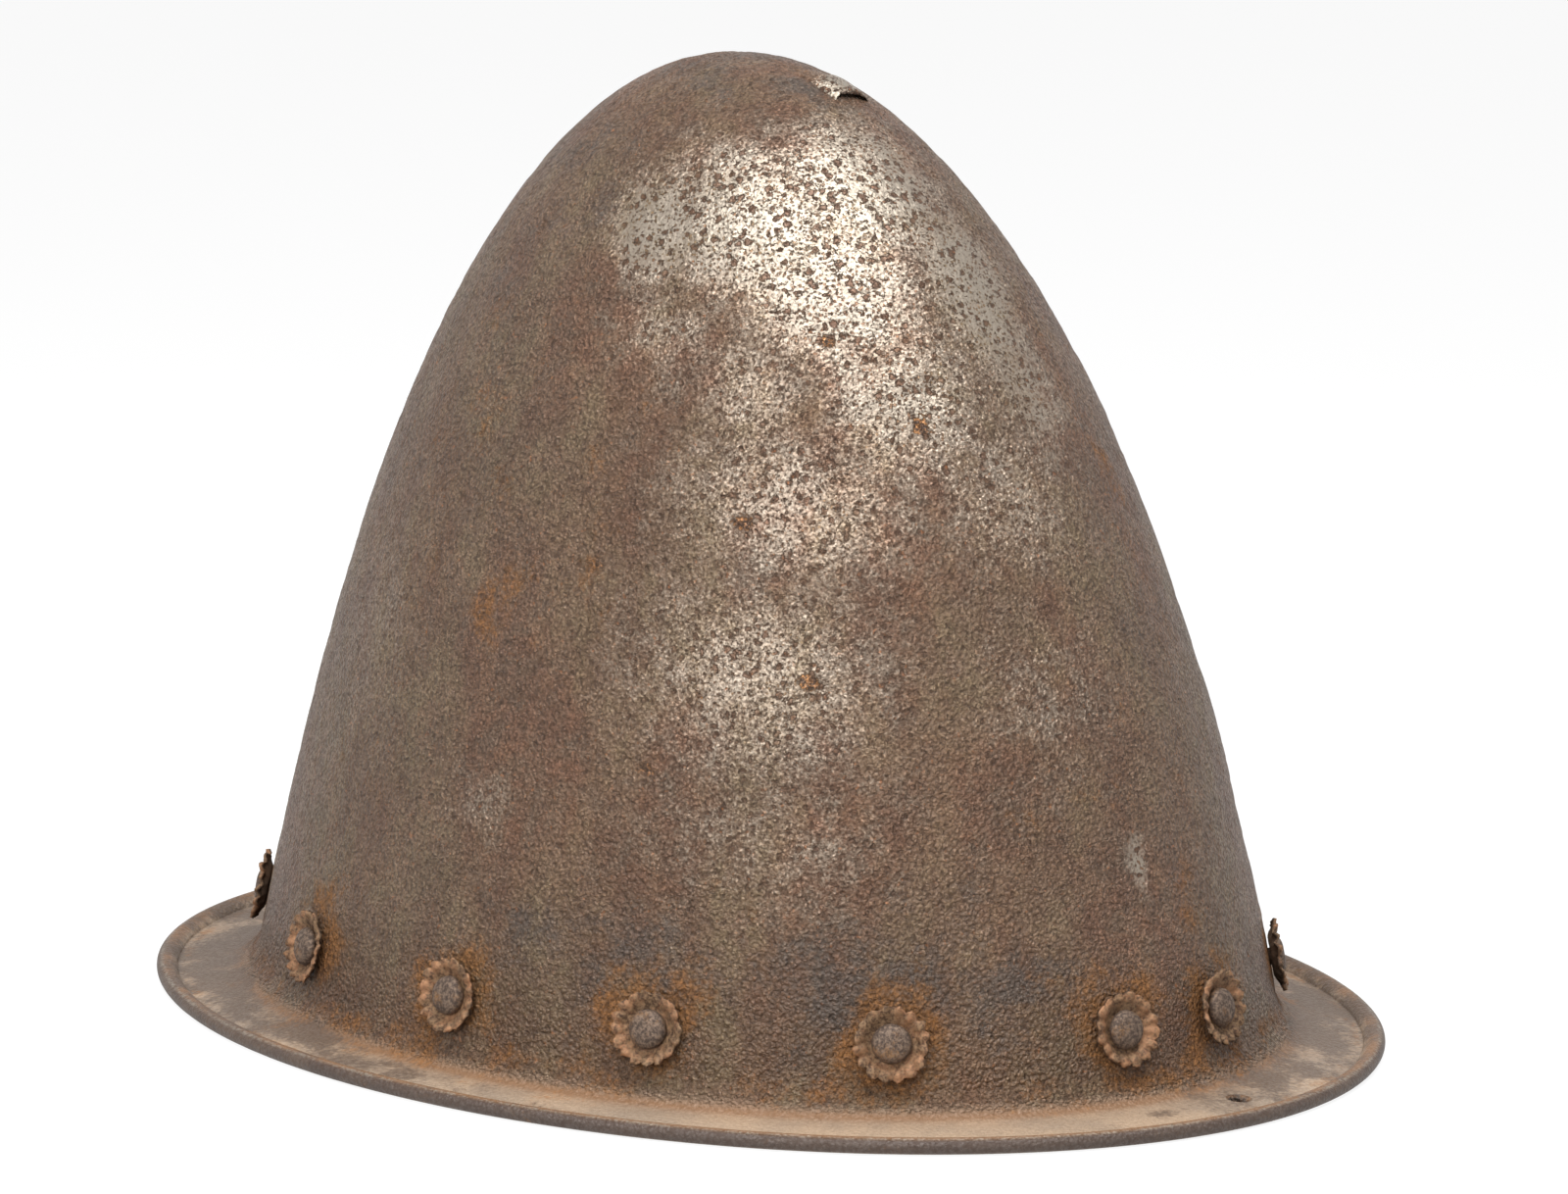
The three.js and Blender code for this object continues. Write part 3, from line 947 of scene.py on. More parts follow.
@dataclass(frozen=True)
class Rings:
    """Level ovals, one to a row: half-width, half-length, shift of the middle and height."""

    half_width: np.ndarray
    half_length: np.ndarray
    shift: np.ndarray
    height: np.ndarray

    def points(self, turns: np.ndarray) -> np.ndarray:
        """Places points on every ring.

        Args:
            turns: the angles of the points.

        Returns:
            The points, by ring and angle.
        """
        across = self.half_width[:, None] * np.cos(turns)
        along = self.shift[:, None] + self.half_length[:, None] * np.sin(turns)
        height = np.broadcast_to(self.height[:, None], across.shape)
        return np.stack([across, along, height], axis=2)

    @classmethod
    def joined(cls, parts: list["Rings"]) -> "Rings":
        """Puts the rings of several parts in one list."""
        rows = [(part.half_width, part.half_length, part.shift, part.height) for part in parts]
        return cls(*(np.concatenate(column) for column in zip(*rows)))


@dataclass(frozen=True)
class SkullShape:
    """Fair shape of the skull and brim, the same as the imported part's."""

    half_length: float
    half_width: float
    height: float
    crown_radius_lengthwise: float = 56.2 * MM
    crown_radius_crosswise: float = 33.85 * MM
    crown_lean: float = 9.9 * MM
    end_reach: float = 25.6 * MM
    side_reach: float = 20.8 * MM
    sheet: float = 1.4 * MM
    hollow_radius: float = 9.5 * MM
    foot_rise: float = 1.2 * MM
    roll_width: float = 5.2 * MM
    roll_radius: float = 2.01 * MM
    roll_height: float = 3.75 * MM
    flat_run: float = 1.4 * MM
    fit_gap: float = 0.3 * MM
    rivet_row_height: float = 18.8 * MM
    rivet_turn_shares: tuple[float, ...] = (0.048, 0.208, 0.353, 0.487, 0.63, 0.803, 0.931)
    slope_step: float = 0.05 * MM

    @classmethod
    def from_frame(cls) -> "SkullShape":
        """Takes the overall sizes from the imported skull."""
        low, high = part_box("skull")
        return cls((high[1] - low[1]) / 2, (high[0] - low[0]) / 2, high[2])

    def wall(self, height: np.ndarray) -> Rings:
        """Gives the skull's outside at some heights."""
        drop = np.maximum(self.height - height, 0)

        def outline(crown_radius: float, half: float) -> np.ndarray:
            """Gives the half-sizes along one axis, from the crown's roundness."""
            flattening = (2 * crown_radius * self.height - half**2) / self.height**2
            return np.sqrt(2 * crown_radius * drop - flattening * drop**2)

        return Rings(
            outline(self.crown_radius_crosswise, self.half_width - self.side_reach),
            outline(self.crown_radius_lengthwise, self.half_length - self.end_reach),
            -self.crown_lean * (height / self.height) ** 2,
            height,
        )

    def tilt(self, height: np.ndarray) -> np.ndarray:
        """Gives how far the wall leans in, as an angle, at some heights."""
        above = self.wall(height + self.slope_step / 2)
        below = self.wall(height - self.slope_step / 2)
        mean_above = np.sqrt(above.half_width * above.half_length)
        mean_below = np.sqrt(below.half_width * below.half_length)
        return np.arctan((mean_below - mean_above) / self.slope_step)

    def inset(self, height: np.ndarray, depth: float) -> Rings:
        """Gives the wall moved inwards, square to its face."""
        ring = self.wall(height)
        tilt = self.tilt(height)
        return Rings(
            ring.half_width - depth * np.cos(tilt),
            ring.half_length - depth * np.cos(tilt),
            ring.shift,
            height - depth * np.sin(tilt),
        )

    @property
    def hollow_height(self) -> float:
        """Height of the middle of the hollow between wall and brim."""
        return self.sheet + self.foot_rise + self.hollow_radius

    @property
    def hollow_tilt(self) -> float:
        """Angle at which the wall meets the hollow."""
        return float(self.tilt(np.array([self.hollow_height]))[0])

    @property
    def hollow_start(self) -> float:
        """Height at which the wall meets the hollow."""
        return self.hollow_height - self.hollow_radius * math.sin(self.hollow_tilt)

    def hollow(self, shares: np.ndarray, radius: float) -> Rings:
        """Gives the hollow from the wall, share 0, to the brim, share 1."""
        wall = self.wall(np.array([self.hollow_start]))
        angle = self.hollow_tilt + (math.pi / 2 - self.hollow_tilt) * shares
        reach = self.hollow_radius * math.cos(self.hollow_tilt) - radius * np.cos(angle)
        return Rings(
            wall.half_width + reach,
            wall.half_length + reach,
            wall.shift * (1 - shares),
            self.hollow_height - radius * np.sin(angle),
        )

    def edge(self, inset: np.ndarray, height: np.ndarray) -> Rings:
        """Gives ovals that lie some way in from the brim's edge."""
        return Rings(
            self.half_width - inset, self.half_length - inset, np.zeros_like(height), height
        )

    def crown_height(self, across: np.ndarray, along: np.ndarray) -> np.ndarray:
        """Finds the height of the skull's outside over points near its crown."""
        low = np.full_like(across, self.height / 2)
        high = np.full_like(across, self.height)
        for _ in range(40):
            middle = (low + high) / 2
            ring = self.wall(middle)
            width = np.maximum(ring.half_width, self.slope_step)
            length = np.maximum(ring.half_length, self.slope_step)
            outside = (across / width) ** 2 + ((along - ring.shift) / length) ** 2 > 1
            high = np.where(outside, middle, high)
            low = np.where(outside, low, middle)
        return (low + high) / 2

    def seat(self, turn: float) -> Matrix:
        """Gives the place of a rivet: Z points out of the wall and Y up it."""
        here = self.wall(np.array([self.rivet_row_height]))
        above = self.wall(np.array([self.rivet_row_height + self.slope_step]))
        angle = np.array([turn])
        place = Vector(here.points(angle)[0, 0])
        rise = Vector(above.points(angle)[0, 0]) - place
        width, length = here.half_width[0], here.half_length[0]
        along = Vector((-width * math.sin(turn), length * math.cos(turn), 0)).normalized()
        out = along.cross(rise).normalized()
        up = out.cross(along)
        return standing(place, along, up, out)

    def rivet_turns(self) -> list[float]:
        """Lists the rivets' turns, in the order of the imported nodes."""
        left = [REAR_TURN - math.pi * share for share in self.rivet_turn_shares]
        right = [REAR_TURN + math.pi * share for share in self.rivet_turn_shares]
        return left + right[::-1]


@dataclass(frozen=True)
class Patch:
    """A soft-edged place on the wall where a mark is strongest, in degrees and millimetres."""

    turn_degrees: float
    height: float
    reach_along: float
    reach_up: float
    strength: float


@dataclass
class WearMap:
    """Where the iron is worn bright, rusty or stained, and where highlight and shade are painted on
    it.
    """

    # Worn steel, crowded where the highlights and the sheen band fall: partly real wear, partly
    # painted highlight.
    bare: tuple[Patch, ...] = (
        Patch(16, 190, 16, 15, 0.8),
        Patch(38, 192, 26, 20, 0.9),
        Patch(72, 199, 27, 17, 0.9),
        Patch(90, 178, 19, 23, 0.8),
        Patch(93, 157, 17, 23, 0.6),
        Patch(56, 178, 31, 22, 0.8),
        Patch(64, 157, 29, 28, 0.66),
        Patch(20, 169, 19, 14, 0.5),
        Patch(38, 156, 22, 24, 0.5),
        Patch(44, 133, 42, 28, 0.54),
        Patch(80, 136, 36, 30, 0.48),
        Patch(38, 96, 44, 36, 0.53),
        Patch(78, 94, 36, 34, 0.38),
        Patch(40, 62, 46, 26, 0.4),
        Patch(-26, 92, 24, 38, 0.36),
        Patch(24, 168, 20, 20, 0.42),
        Patch(2, 62, 16, 14, 0.38),
        Patch(88, 54, 5, 8, 0.72),
        Patch(250, 185, 40, 24, 0.7),
        Patch(215, 130, 34, 34, 0.4),
        Patch(300, 110, 30, 40, 0.38),
    )
    rust: tuple[Patch, ...] = (
        Patch(66, 24, 60, 8, 0.25),
        Patch(82, 7, 26, 5, 0.62),
        Patch(48, 8, 16, 4, 0.4),
        Patch(96, 44, 18, 26, 0.28),
        Patch(-10, 135, 15, 34, 0.34),
        Patch(0, 104, 11, 30, 0.38),
        Patch(14, 122, 12, 22, 0.3),
        Patch(110, 140, 14, 40, 0.24),
        Patch(84, 70, 20, 20, 0.2),
        Patch(200, 70, 30, 40, 0.3),
        Patch(280, 60, 30, 26, 0.3),
    )
    stain: tuple[Patch, ...] = (
        Patch(55, 30, 46, 17, 0.78),
        Patch(18, 34, 32, 15, 0.62),
        Patch(-22, 196, 36, 30, 0.3),
        Patch(60, 222, 60, 8, 0.55),
        Patch(-10, 26, 20, 14, 0.35),
        Patch(93, 17, 5, 8, 0.8),
        Patch(230, 30, 40, 16, 0.4),
    )
    gouges: tuple[Patch, ...] = (
        Patch(66, 150, 2.6, 1.9, 1.0),
        Patch(36, 129, 2.9, 2.1, 1.0),
        Patch(44, 96, 2.4, 2.1, 1.0),
        Patch(24, 75, 2.7, 1.8, 0.9),
        Patch(14, 117, 2.2, 1.6, 0.9),
        Patch(52, 168, 1.9, 1.8, 0.8),
        Patch(30, 92, 1.7, 1.6, 0.8),
        Patch(232, 120, 2.9, 2.1, 1.0),
        Patch(290, 80, 2.4, 1.9, 0.9),
    )
    # Degrees, millimetres in from the brim's edge, reach across the brim, and strength.
    smudges: tuple[tuple[float, float, float, float], ...] = (
        (127.5, 18.5, 1.8, 1.0),
        (128.0, 14.5, 3.0, 0.8),
        (103.5, 22.5, 2.0, 0.8),
        (114.5, 14.0, 3.2, 0.9),
        (81.5, 11.0, 2.5, 0.8),
        (-40.0, 16.0, 5.0, 0.9),
        (-20.0, 15.5, 4.5, 0.85),
        (-2.0, 14.5, 4.0, 0.75),
        (-60.0, 14.0, 4.0, 0.6),
        (205.0, 14.0, 4.0, 0.7),
        (250.0, 12.0, 4.0, 0.6),
    )
    wall_foot: Pair = (3.4 * MM, 6.4 * MM)
    halo_reach: Pair = (5 * MM, 22 * MM)
    halo_lift: float = 2 * MM
    halo_rust: float = 0.8
    foot_height: float = 7 * MM
    foot_reach: Pair = (1 * MM, 7 * MM)
    foot_rust: float = 0.42
    inside_rust: float = 0.42
    corner_inset: float = 6.3 * MM
    corner_reach: Pair = (0.6 * MM, 2.2 * MM)
    corner_rust: float = 0.3
    # Turn of the brim's near side, where the painted end shade is least and the corner rust most.
    near_far_degrees: float = 45
    roll_edge: Pair = (0.5 * MM, 1.7 * MM)
    # A light line along the roll's crest: worn steel and painted highlight.
    crest_inset: float = 1.2 * MM
    crest_reach: float = 0.8 * MM
    crest_rise: Pair = (3 * MM, 3.5 * MM)
    crest_wear_and_highlight: float = 0.46
    tan_rise: Pair = (2.3 * MM, 3.6 * MM)
    band_inner: Pair = (7 * MM, 10 * MM)
    band_outer: Pair = (15 * MM, 19 * MM)
    # Painted shade at the brim's ends, deepest in the middle band.
    brim_end_shade: float = 0.78
    dent_rise: Pair = (30 * MM, 48 * MM)
    brim_pits: float = 0.25
    roll_smoothness: float = 0.85

    @staticmethod
    def spread(
        patches: tuple[Patch, ...], turns: np.ndarray, heights: np.ndarray, radii: np.ndarray
    ) -> np.ndarray:
        """Sums patches over points of the wall.

        Args:
            patches: the patches.
            turns: the points' angles.
            heights: their heights.
            radii: the wall's mean radius at each of them.

        Returns:
            A value from 0 to 1 for each point.
        """
        total = np.zeros(np.broadcast(turns, heights).shape)
        for patch in patches:
            along = turn_gap(turns, patch.turn_degrees) * radii / (patch.reach_along * MM)
            up = (heights - patch.height * MM) / (patch.reach_up * MM)
            total = np.maximum(total, patch.strength * np.exp(-(along**2) - up**2))
        return total


@dataclass
class ForgedSkull:
    """Skull and brim, forged from one sheet, with its rolled edge and broken stalk."""

    shape: SkullShape
    wear_and_painted_light: WearMap = field(default_factory=WearMap)
    turn_steps: int = 360
    wall_rows: int = 150
    hollow_rows: int = 14
    brim_rows: int = 12
    roll_rows: int = 9
    inner_rows: int = 44
    dent_depth: float = 0.5 * MM
    dent_size: float = 48 * MM
    flake_depth: float = 0.22 * MM
    flake_size: float = 7 * MM
    pit_depth: float = 0.45 * MM
    pit_size: float = 9 * MM
    hole_radius: float = 2.9 * MM
    hole_taper: float = 0.66
    hole_surround: float = 1.5
    # Painted shade inside the hole: how much of the roll's dark colour the top of its rim takes.
    hole_shade: float = 0.5
    hole_rust: float = 0.5
    hole_inset: float = 14.5 * MM
    hole_offset: float = 6 * MM
    stump_length: float = 15.8 * MM
    stump_root: float = 7 * MM
    stump_tip: float = 5.5 * MM
    stump_back: float = 30.4 * MM
    stump_offset: float = 5 * MM
    stump_lift: float = 1.9 * MM
    stump_lip: float = 0.75 * MM
    stump_sink: float = 0.5 * MM
    stump_ragged: float = 0.3 * MM
    stump_along: int = 44
    stump_across: int = 30
    # Worn steel on the stump's top, partly painted highlight.
    stump_bare_and_sheen: float = 0.8
    stump_rust: float = 0.12
    stump_pits: float = 0.04
    lip_start: float = 0.86
    # Height, rate and phase of each wave of the torn edge.
    tear_waves: tuple[tuple[float, float, float], ...] = (
        (0.5, 7.3, 1),
        (0.35, 17.1, 0),
        (0.25, 31.7, 2),
    )

    def outer_wall(self) -> Rings:
        """Gives rings from the crown down to the hollow, evenly spaced along the wall."""
        share = np.linspace(0, 1, 2000)
        top, foot = self.shape.height, self.shape.hollow_start
        heights = top - (top - foot) * share**2
        rings = self.shape.wall(heights)
        radius = np.sqrt(rings.half_width * rings.half_length)
        steps = np.hypot(np.diff(radius), np.diff(heights))
        run = np.concatenate([[0], np.cumsum(steps)])
        even = np.linspace(0, run[-1], self.wall_rows + 1)[1:]
        return self.shape.wall(np.interp(even, run, heights))

    def roll(self) -> Rings:
        """Gives the rolled edge: up over the bead, round the edge and back underneath."""
        shape = self.shape
        quarter = np.linspace(0, math.pi / 2, self.roll_rows)
        radius = shape.roll_radius
        crease = shape.sheet + shape.fit_gap / 3
        rise = shape.roll_height - crease
        inner = shape.edge(
            radius + (shape.roll_width - radius) * np.cos(quarter),
            crease + rise * np.sin(quarter) ** 1.5,
        )
        outer = shape.edge(
            radius - radius * np.sin(quarter[1:]),
            radius + (shape.roll_height - radius) * np.cos(quarter[1:]),
        )
        under = shape.edge(
            radius - radius * np.cos(quarter[1:]), radius - radius * np.sin(quarter[1:])
        )
        flat = shape.edge(
            np.linspace(radius, shape.roll_width + shape.flat_run, 4)[1:], np.zeros(3)
        )
        return Rings.joined([inner, outer, under, flat])

    def brim_top(self) -> Rings:
        """Gives the brim's top from the hollow out to the roll's crease."""
        shape = self.shape
        foot = shape.hollow(np.array([1.0]), shape.hollow_radius)
        share = np.linspace(0, 1, self.brim_rows + 2)[1:-1]
        crease_width = shape.half_width - shape.roll_width
        crease_length = shape.half_length - shape.roll_width
        fall = share**1.4
        return Rings(
            foot.half_width + (crease_width - foot.half_width) * share,
            foot.half_length + (crease_length - foot.half_length) * share,
            np.zeros_like(share),
            foot.height + (shape.sheet - foot.height) * fall,
        )

    def inside(self) -> Rings:
        """Gives the inside, from the brim's underside up to the crown."""
        shape = self.shape
        hollow = shape.hollow(np.linspace(1, 0, 8), shape.hollow_radius + shape.sheet)
        share = np.linspace(1, 0, self.inner_rows + 1)[:-1]
        heights = shape.height - (shape.height - shape.hollow_start) * share**1.5
        return Rings.joined([hollow, shape.inset(heights[1:], shape.sheet)])

    def shell(self) -> Object:
        """Builds the closed sheet, with the values that its finish reads."""
        shape = self.shape
        parts = [
            self.outer_wall(),
            shape.hollow(np.linspace(0, 1, self.hollow_rows + 1)[1:], shape.hollow_radius),
            self.brim_top(),
            self.roll(),
            self.inside(),
        ]
        counts = [len(part.height) for part in parts]
        rings = Rings.joined(parts)
        turns = ring_turns(self.turn_steps)
        grid = rings.points(turns)
        rows = len(rings.height)
        crown = np.array([[0, -shape.crown_lean, shape.height]])
        inner_crown = np.array([[0, -shape.crown_lean, shape.height - shape.sheet]])
        points = np.concatenate([crown, grid.reshape(-1, 3), inner_crown])
        faces = lattice_faces(rows, self.turn_steps, first=1)
        last = len(points) - 1
        for step in range(self.turn_steps):
            after = (step + 1) % self.turn_steps
            faces.append([0, 1 + step, 1 + after])
            faces.append([last, last - self.turn_steps + after, last - self.turn_steps + step])
        made = mesh_object("skull_and_brim", points, faces)
        self.mark(made, rings, counts, turns)
        return made

    def mark(self, made: Object, rings: Rings, counts: list[int], turns: np.ndarray) -> None:
        """Stores wear with painted highlight, rust, stains with painted shade, and the brim's bands
        at the points of the sheet.

        Args:
            made: the sheet.
            rings: its rings.
            counts: how many rings each part of its profile has.
            turns: the angles of the points of a ring.
        """
        shape, wear_and_painted_light = self.shape, self.wear_and_painted_light
        band = np.repeat(np.arange(len(counts)), counts)[:, None]
        radius = np.sqrt(rings.half_width * rings.half_length)
        grid = rings.points(turns)
        heights = grid[:, :, 2]
        radii = np.broadcast_to(radius[:, None], heights.shape)
        angle = np.broadcast_to(turns, heights.shape)
        outside = band < Band.INSIDE
        on_brim, on_roll = band == Band.BRIM, band == Band.ROLL
        on_wall = eased(heights, *wear_and_painted_light.wall_foot) * outside
        inset = np.broadcast_to((shape.half_width - rings.half_width)[:, None], heights.shape)
        bare, rust, stain, gouge = (
            WearMap.spread(patches, angle, heights, radii) * on_wall
            for patches in (wear_and_painted_light.bare, wear_and_painted_light.rust, wear_and_painted_light.stain, wear_and_painted_light.gouges)
        )

        halo = np.zeros_like(heights)
        for turn in shape.rivet_turns():
            centre = np.array(shape.seat(turn).translation) + [0, 0, wear_and_painted_light.halo_lift]
            gap = np.linalg.norm(grid - centre, axis=2)
            halo = np.maximum(halo, 1 - eased(gap, *wear_and_painted_light.halo_reach))
        rust = np.maximum(rust, halo * wear_and_painted_light.halo_rust) * outside
        foot = 1 - eased(np.abs(heights - wear_and_painted_light.foot_height), *wear_and_painted_light.foot_reach)
        rust = np.maximum(rust, foot * wear_and_painted_light.foot_rust * (band < Band.BRIM))
        corner = 1 - eased(np.abs(inset - wear_and_painted_light.corner_inset), *wear_and_painted_light.corner_reach)
        # 1 on the brim's near and far sides, 0 at its ends.
        near_and_far = 0.5 + 0.5 * np.cos(2 * (angle - math.radians(wear_and_painted_light.near_far_degrees)))
        rust = np.maximum(rust, corner * wear_and_painted_light.corner_rust * (1 + near_and_far) * on_brim)
        rust = np.where(outside, rust, wear_and_painted_light.inside_rust)

        brim = (1 - on_wall) * outside
        # The roll's outer face, for its dark patina and painted shade.
        roll = on_roll * (1 - eased(inset, *wear_and_painted_light.roll_edge))
        # Worn steel and painted highlight along the roll's crest.
        crest = np.exp(-(((inset - wear_and_painted_light.crest_inset) / wear_and_painted_light.crest_reach) ** 2)) * on_roll
        bare = np.maximum(bare, wear_and_painted_light.crest_wear_and_highlight * crest * eased(heights, *wear_and_painted_light.crest_rise))
        # The brim darkens towards its ends, deepest in its middle band: painted shade.
        middle = eased(inset, *wear_and_painted_light.band_inner) * (1 - eased(inset, *wear_and_painted_light.band_outer))
        dirt = wear_and_painted_light.brim_end_shade + (1 - wear_and_painted_light.brim_end_shade) * middle
        stain = np.maximum(stain, brim * dirt * (1 - near_and_far))
        for degrees, place, reach, strength in wear_and_painted_light.smudges:
            along = turn_gap(angle, degrees) * shape.half_length / (3 * reach * MM)
            gap = np.hypot(along, (inset - place * MM) / (reach * MM))
            stain = np.maximum(stain, brim * strength * np.exp(-(gap**2)))

        layers = {
            # Worn steel and painted highlight.
            "bare": bare,
            "rust": rust,
            # Stains, and painted shade at the brim's ends.
            "stain": stain,
            "gouge": gouge,
            "brim": brim,
            "roll": roll,
            # Hollow colour: rust darkened as painted shade.
            "tan": brim * eased(heights, *wear_and_painted_light.tan_rise),
            "dented": np.where(outside, 1.0, -1.0) * eased(heights, *wear_and_painted_light.dent_rise),
            "pitted": np.maximum(on_wall, wear_and_painted_light.brim_pits)
            * outside
            * (1 - wear_and_painted_light.roll_smoothness * on_roll),
        }
        for name, values in layers.items():
            ends = (values[0].mean(), values[-1].mean())
            carry(made, name, np.concatenate([[ends[0]], values.ravel(), [ends[1]]]))

    def pierce(self, made: Object) -> None:
        """Opens the small hole through the brim behind the skull, with painted shade on its inner
        wall.
        """
        centre = Vector((-self.hole_offset, self.shape.half_length - self.hole_inset))
        mesh = bmesh.new()
        mesh.from_mesh(made.data)

        def away(point: Vector) -> float:
            """Gives a point's distance from the hole's axis."""
            return (point.xy - centre).length

        for _ in range(2):
            reach = self.hole_radius * self.hole_surround
            near = [e for e in mesh.edges if away((e.verts[0].co + e.verts[1].co) / 2) < reach]
            bmesh.ops.subdivide_edges(mesh, edges=near, cuts=1, use_grid_fill=True)
        doomed = {f for f in mesh.faces if away(f.calc_center_median()) < self.hole_radius}
        edges = {edge for face in doomed for edge in face.edges}
        rim = [e for e in edges if any(face not in doomed for face in e.link_faces)]
        points = {vertex for edge in rim for vertex in edge.verts}
        bmesh.ops.delete(mesh, geom=list(doomed), context="FACES")
        # The hole's rim takes the roll's dark colour, fully at its bottom: painted shade inside the
        # hole; it also gets rust.
        dark = mesh.verts.layers.float["roll"]
        rusted = mesh.verts.layers.float["rust"]
        for point in points:
            under = point.co.z < self.shape.sheet + self.shape.foot_rise / 4
            point[dark] = 1.0 if under else self.hole_shade
            point[rusted] = self.hole_rust
            radius = self.hole_radius * (self.hole_taper if under else 1)
            spoke = (point.co.xy - centre).normalized() * radius
            point.co.x = centre.x + spoke.x
            point.co.y = centre.y + spoke.y
        bridge = bmesh.ops.bridge_loops(mesh, edges=[e for e in rim if e.is_valid])
        for face in bridge["faces"]:
            face.smooth = True
        loose = [vertex for vertex in mesh.verts if not vertex.link_faces]
        bmesh.ops.delete(mesh, geom=loose, context="VERTS")
        bmesh.ops.recalc_face_normals(mesh, faces=mesh.faces)
        mesh.to_mesh(made.data)
        mesh.free()

    def stump(self) -> Object:
        """Builds the broken end of the crown's stalk, sunk a little into the sheet."""
        share = np.linspace(0, 1, self.stump_along + 1)
        across = np.linspace(-1, 1, self.stump_across + 1)
        grid_share, grid_across = np.meshgrid(share, across, indexing="ij")
        half_width = self.stump_root + (self.stump_tip - self.stump_root) * grid_share
        ragged = sum(
            size * np.sin(rate * grid_across + phase) for size, rate, phase in self.tear_waves
        )
        tip = self.stump_back - self.shape.crown_lean + ragged * self.stump_ragged
        root = self.stump_back - self.shape.crown_lean - self.stump_length
        along = root + (tip - root) * grid_share
        side = -self.stump_offset + half_width * grid_across
        skin = self.shape.crown_height(side, along)
        swell = eased(grid_share, 0, 0.8)
        flank = (1 - np.abs(grid_across) ** 2.6) ** 0.8
        lift = self.stump_lift * swell * flank - self.stump_sink * (1 - swell * flank)
        top = np.stack([side, along, skin + lift], axis=2)
        torn = grid_share > self.lip_start
        depth = np.where(torn, self.stump_lip * flank, -self.stump_sink * 1.5)
        floor = np.minimum(skin + depth, skin + lift - 0.05 * MM)
        low = np.stack([side, along, floor], axis=2)[:, ::-1]
        rows = np.concatenate([top, low], axis=1)
        count = rows.shape[1]
        points = rows.reshape(-1, 3)
        faces = [face[::-1] for face in lattice_faces(len(share), count)]
        faces += self.end_faces(0, count)
        faces += [face[::-1] for face in self.end_faces(self.stump_along * count, count)]
        made = mesh_object("stalk_stump", points, faces)
        mend(made, join=False)
        # The top lightens towards the tip: worn steel and painted highlight; the underside gets
        # none.
        bright = np.concatenate([eased(grid_share, 0.3, 0.8), np.zeros_like(grid_share)], axis=1)
        carry(made, "bare", bright * self.stump_bare_and_sheen)
        levels = dict.fromkeys(("stain", "gouge", "brim", "roll", "tan", "dented"), 0.0)
        levels |= {"rust": self.stump_rust, "pitted": self.stump_pits}
        for name, level in levels.items():
            carry(made, name, np.full(len(points), level))
        return made

    def end_faces(self, first: int, count: int) -> list:
        """Closes one end of the stump, whose top row is followed by its reversed bottom row."""
        last = first + count - 1
        return [
            [first + k, first + k + 1, last - 1 - k, last - k] for k in range(self.stump_across)
        ]

    def build(self, iron: Material, relief: NodeTree) -> None:
        """Args:
            iron: the finish of the sheet.
            relief: the geometry tree that dents and pits it.
        """
        sheet = self.shell()
        self.pierce(sheet)
        stump = self.stump()
        sizes = {
            "Dent Depth": self.dent_depth,
            "Dent Size": self.dent_size,
            "Flake Depth": self.flake_depth,
            "Flake Size": self.flake_size,
            "Pit Depth": self.pit_depth,
            "Pit Size": self.pit_size,
            "Seed": 4,
            "Material": iron,
        }
        for piece in (sheet, stump):
            grow(piece, relief, sizes)
            declare(piece, "skull_iron", "skull")


# Geometry trees


def geometry_tree(name: str, ports: dict[str, str]) -> tuple[Graph, Node]:
    """Starts a geometry tree with a geometry input and output.

    Args:
        name: the tree's name.
        ports: the socket type of each further input, by name.

    Returns:
        The tree's graph and its input node.
    """
    tree = bpy.data.node_groups.new(name, "GeometryNodeTree")
    geometry = "NodeSocketGeometry"
    tree.interface.new_socket("Geometry", in_out="INPUT", socket_type=geometry)
    for port, kind in ports.items():
        tree.interface.new_socket(port, in_out="INPUT", socket_type=kind)
    tree.interface.new_socket("Geometry", in_out="OUTPUT", socket_type=geometry)
    graph = Graph(tree)
    return graph, graph.add("NodeGroupInput")


def end_tree(graph: Graph, shape: Socket, material: Socket) -> NodeTree:
    """Ends a geometry tree with real geometry that carries its material."""
    real = graph.add("GeometryNodeRealizeInstances", {"Geometry": shape})
    dressed = graph.add(
        "GeometryNodeSetMaterial", {"Geometry": real.outputs[0], "Material": material}
    )
    graph.add("NodeGroupOutput", {"Geometry": dressed.outputs[0]})
    return graph.tree


def grow(host: Object, tree: NodeTree, values: dict[str, object]) -> None:
    """Runs a geometry tree on a piece and keeps the result as its plain mesh.

    Args:
        host: the piece.
        tree: the geometry tree.
        values: its inputs, by name.
    """
    modifier = host.modifiers.new(tree.name, "NODES")
    modifier.node_group = tree
    items = [item for item in tree.interface.items_tree if item.in_out == "INPUT"]
    sockets = {item.name: item.identifier for item in items}
    for name, value in values.items():
        modifier[sockets[name]] = value
    depsgraph = bpy.context.evaluated_depsgraph_get()
    evaluated = host.evaluated_get(depsgraph)
    mesh = bpy.data.meshes.new_from_object(
        evaluated, preserve_all_data_layers=True, depsgraph=depsgraph
    )
    host.modifiers.clear()
    host.data = mesh
    mesh.name = host.name


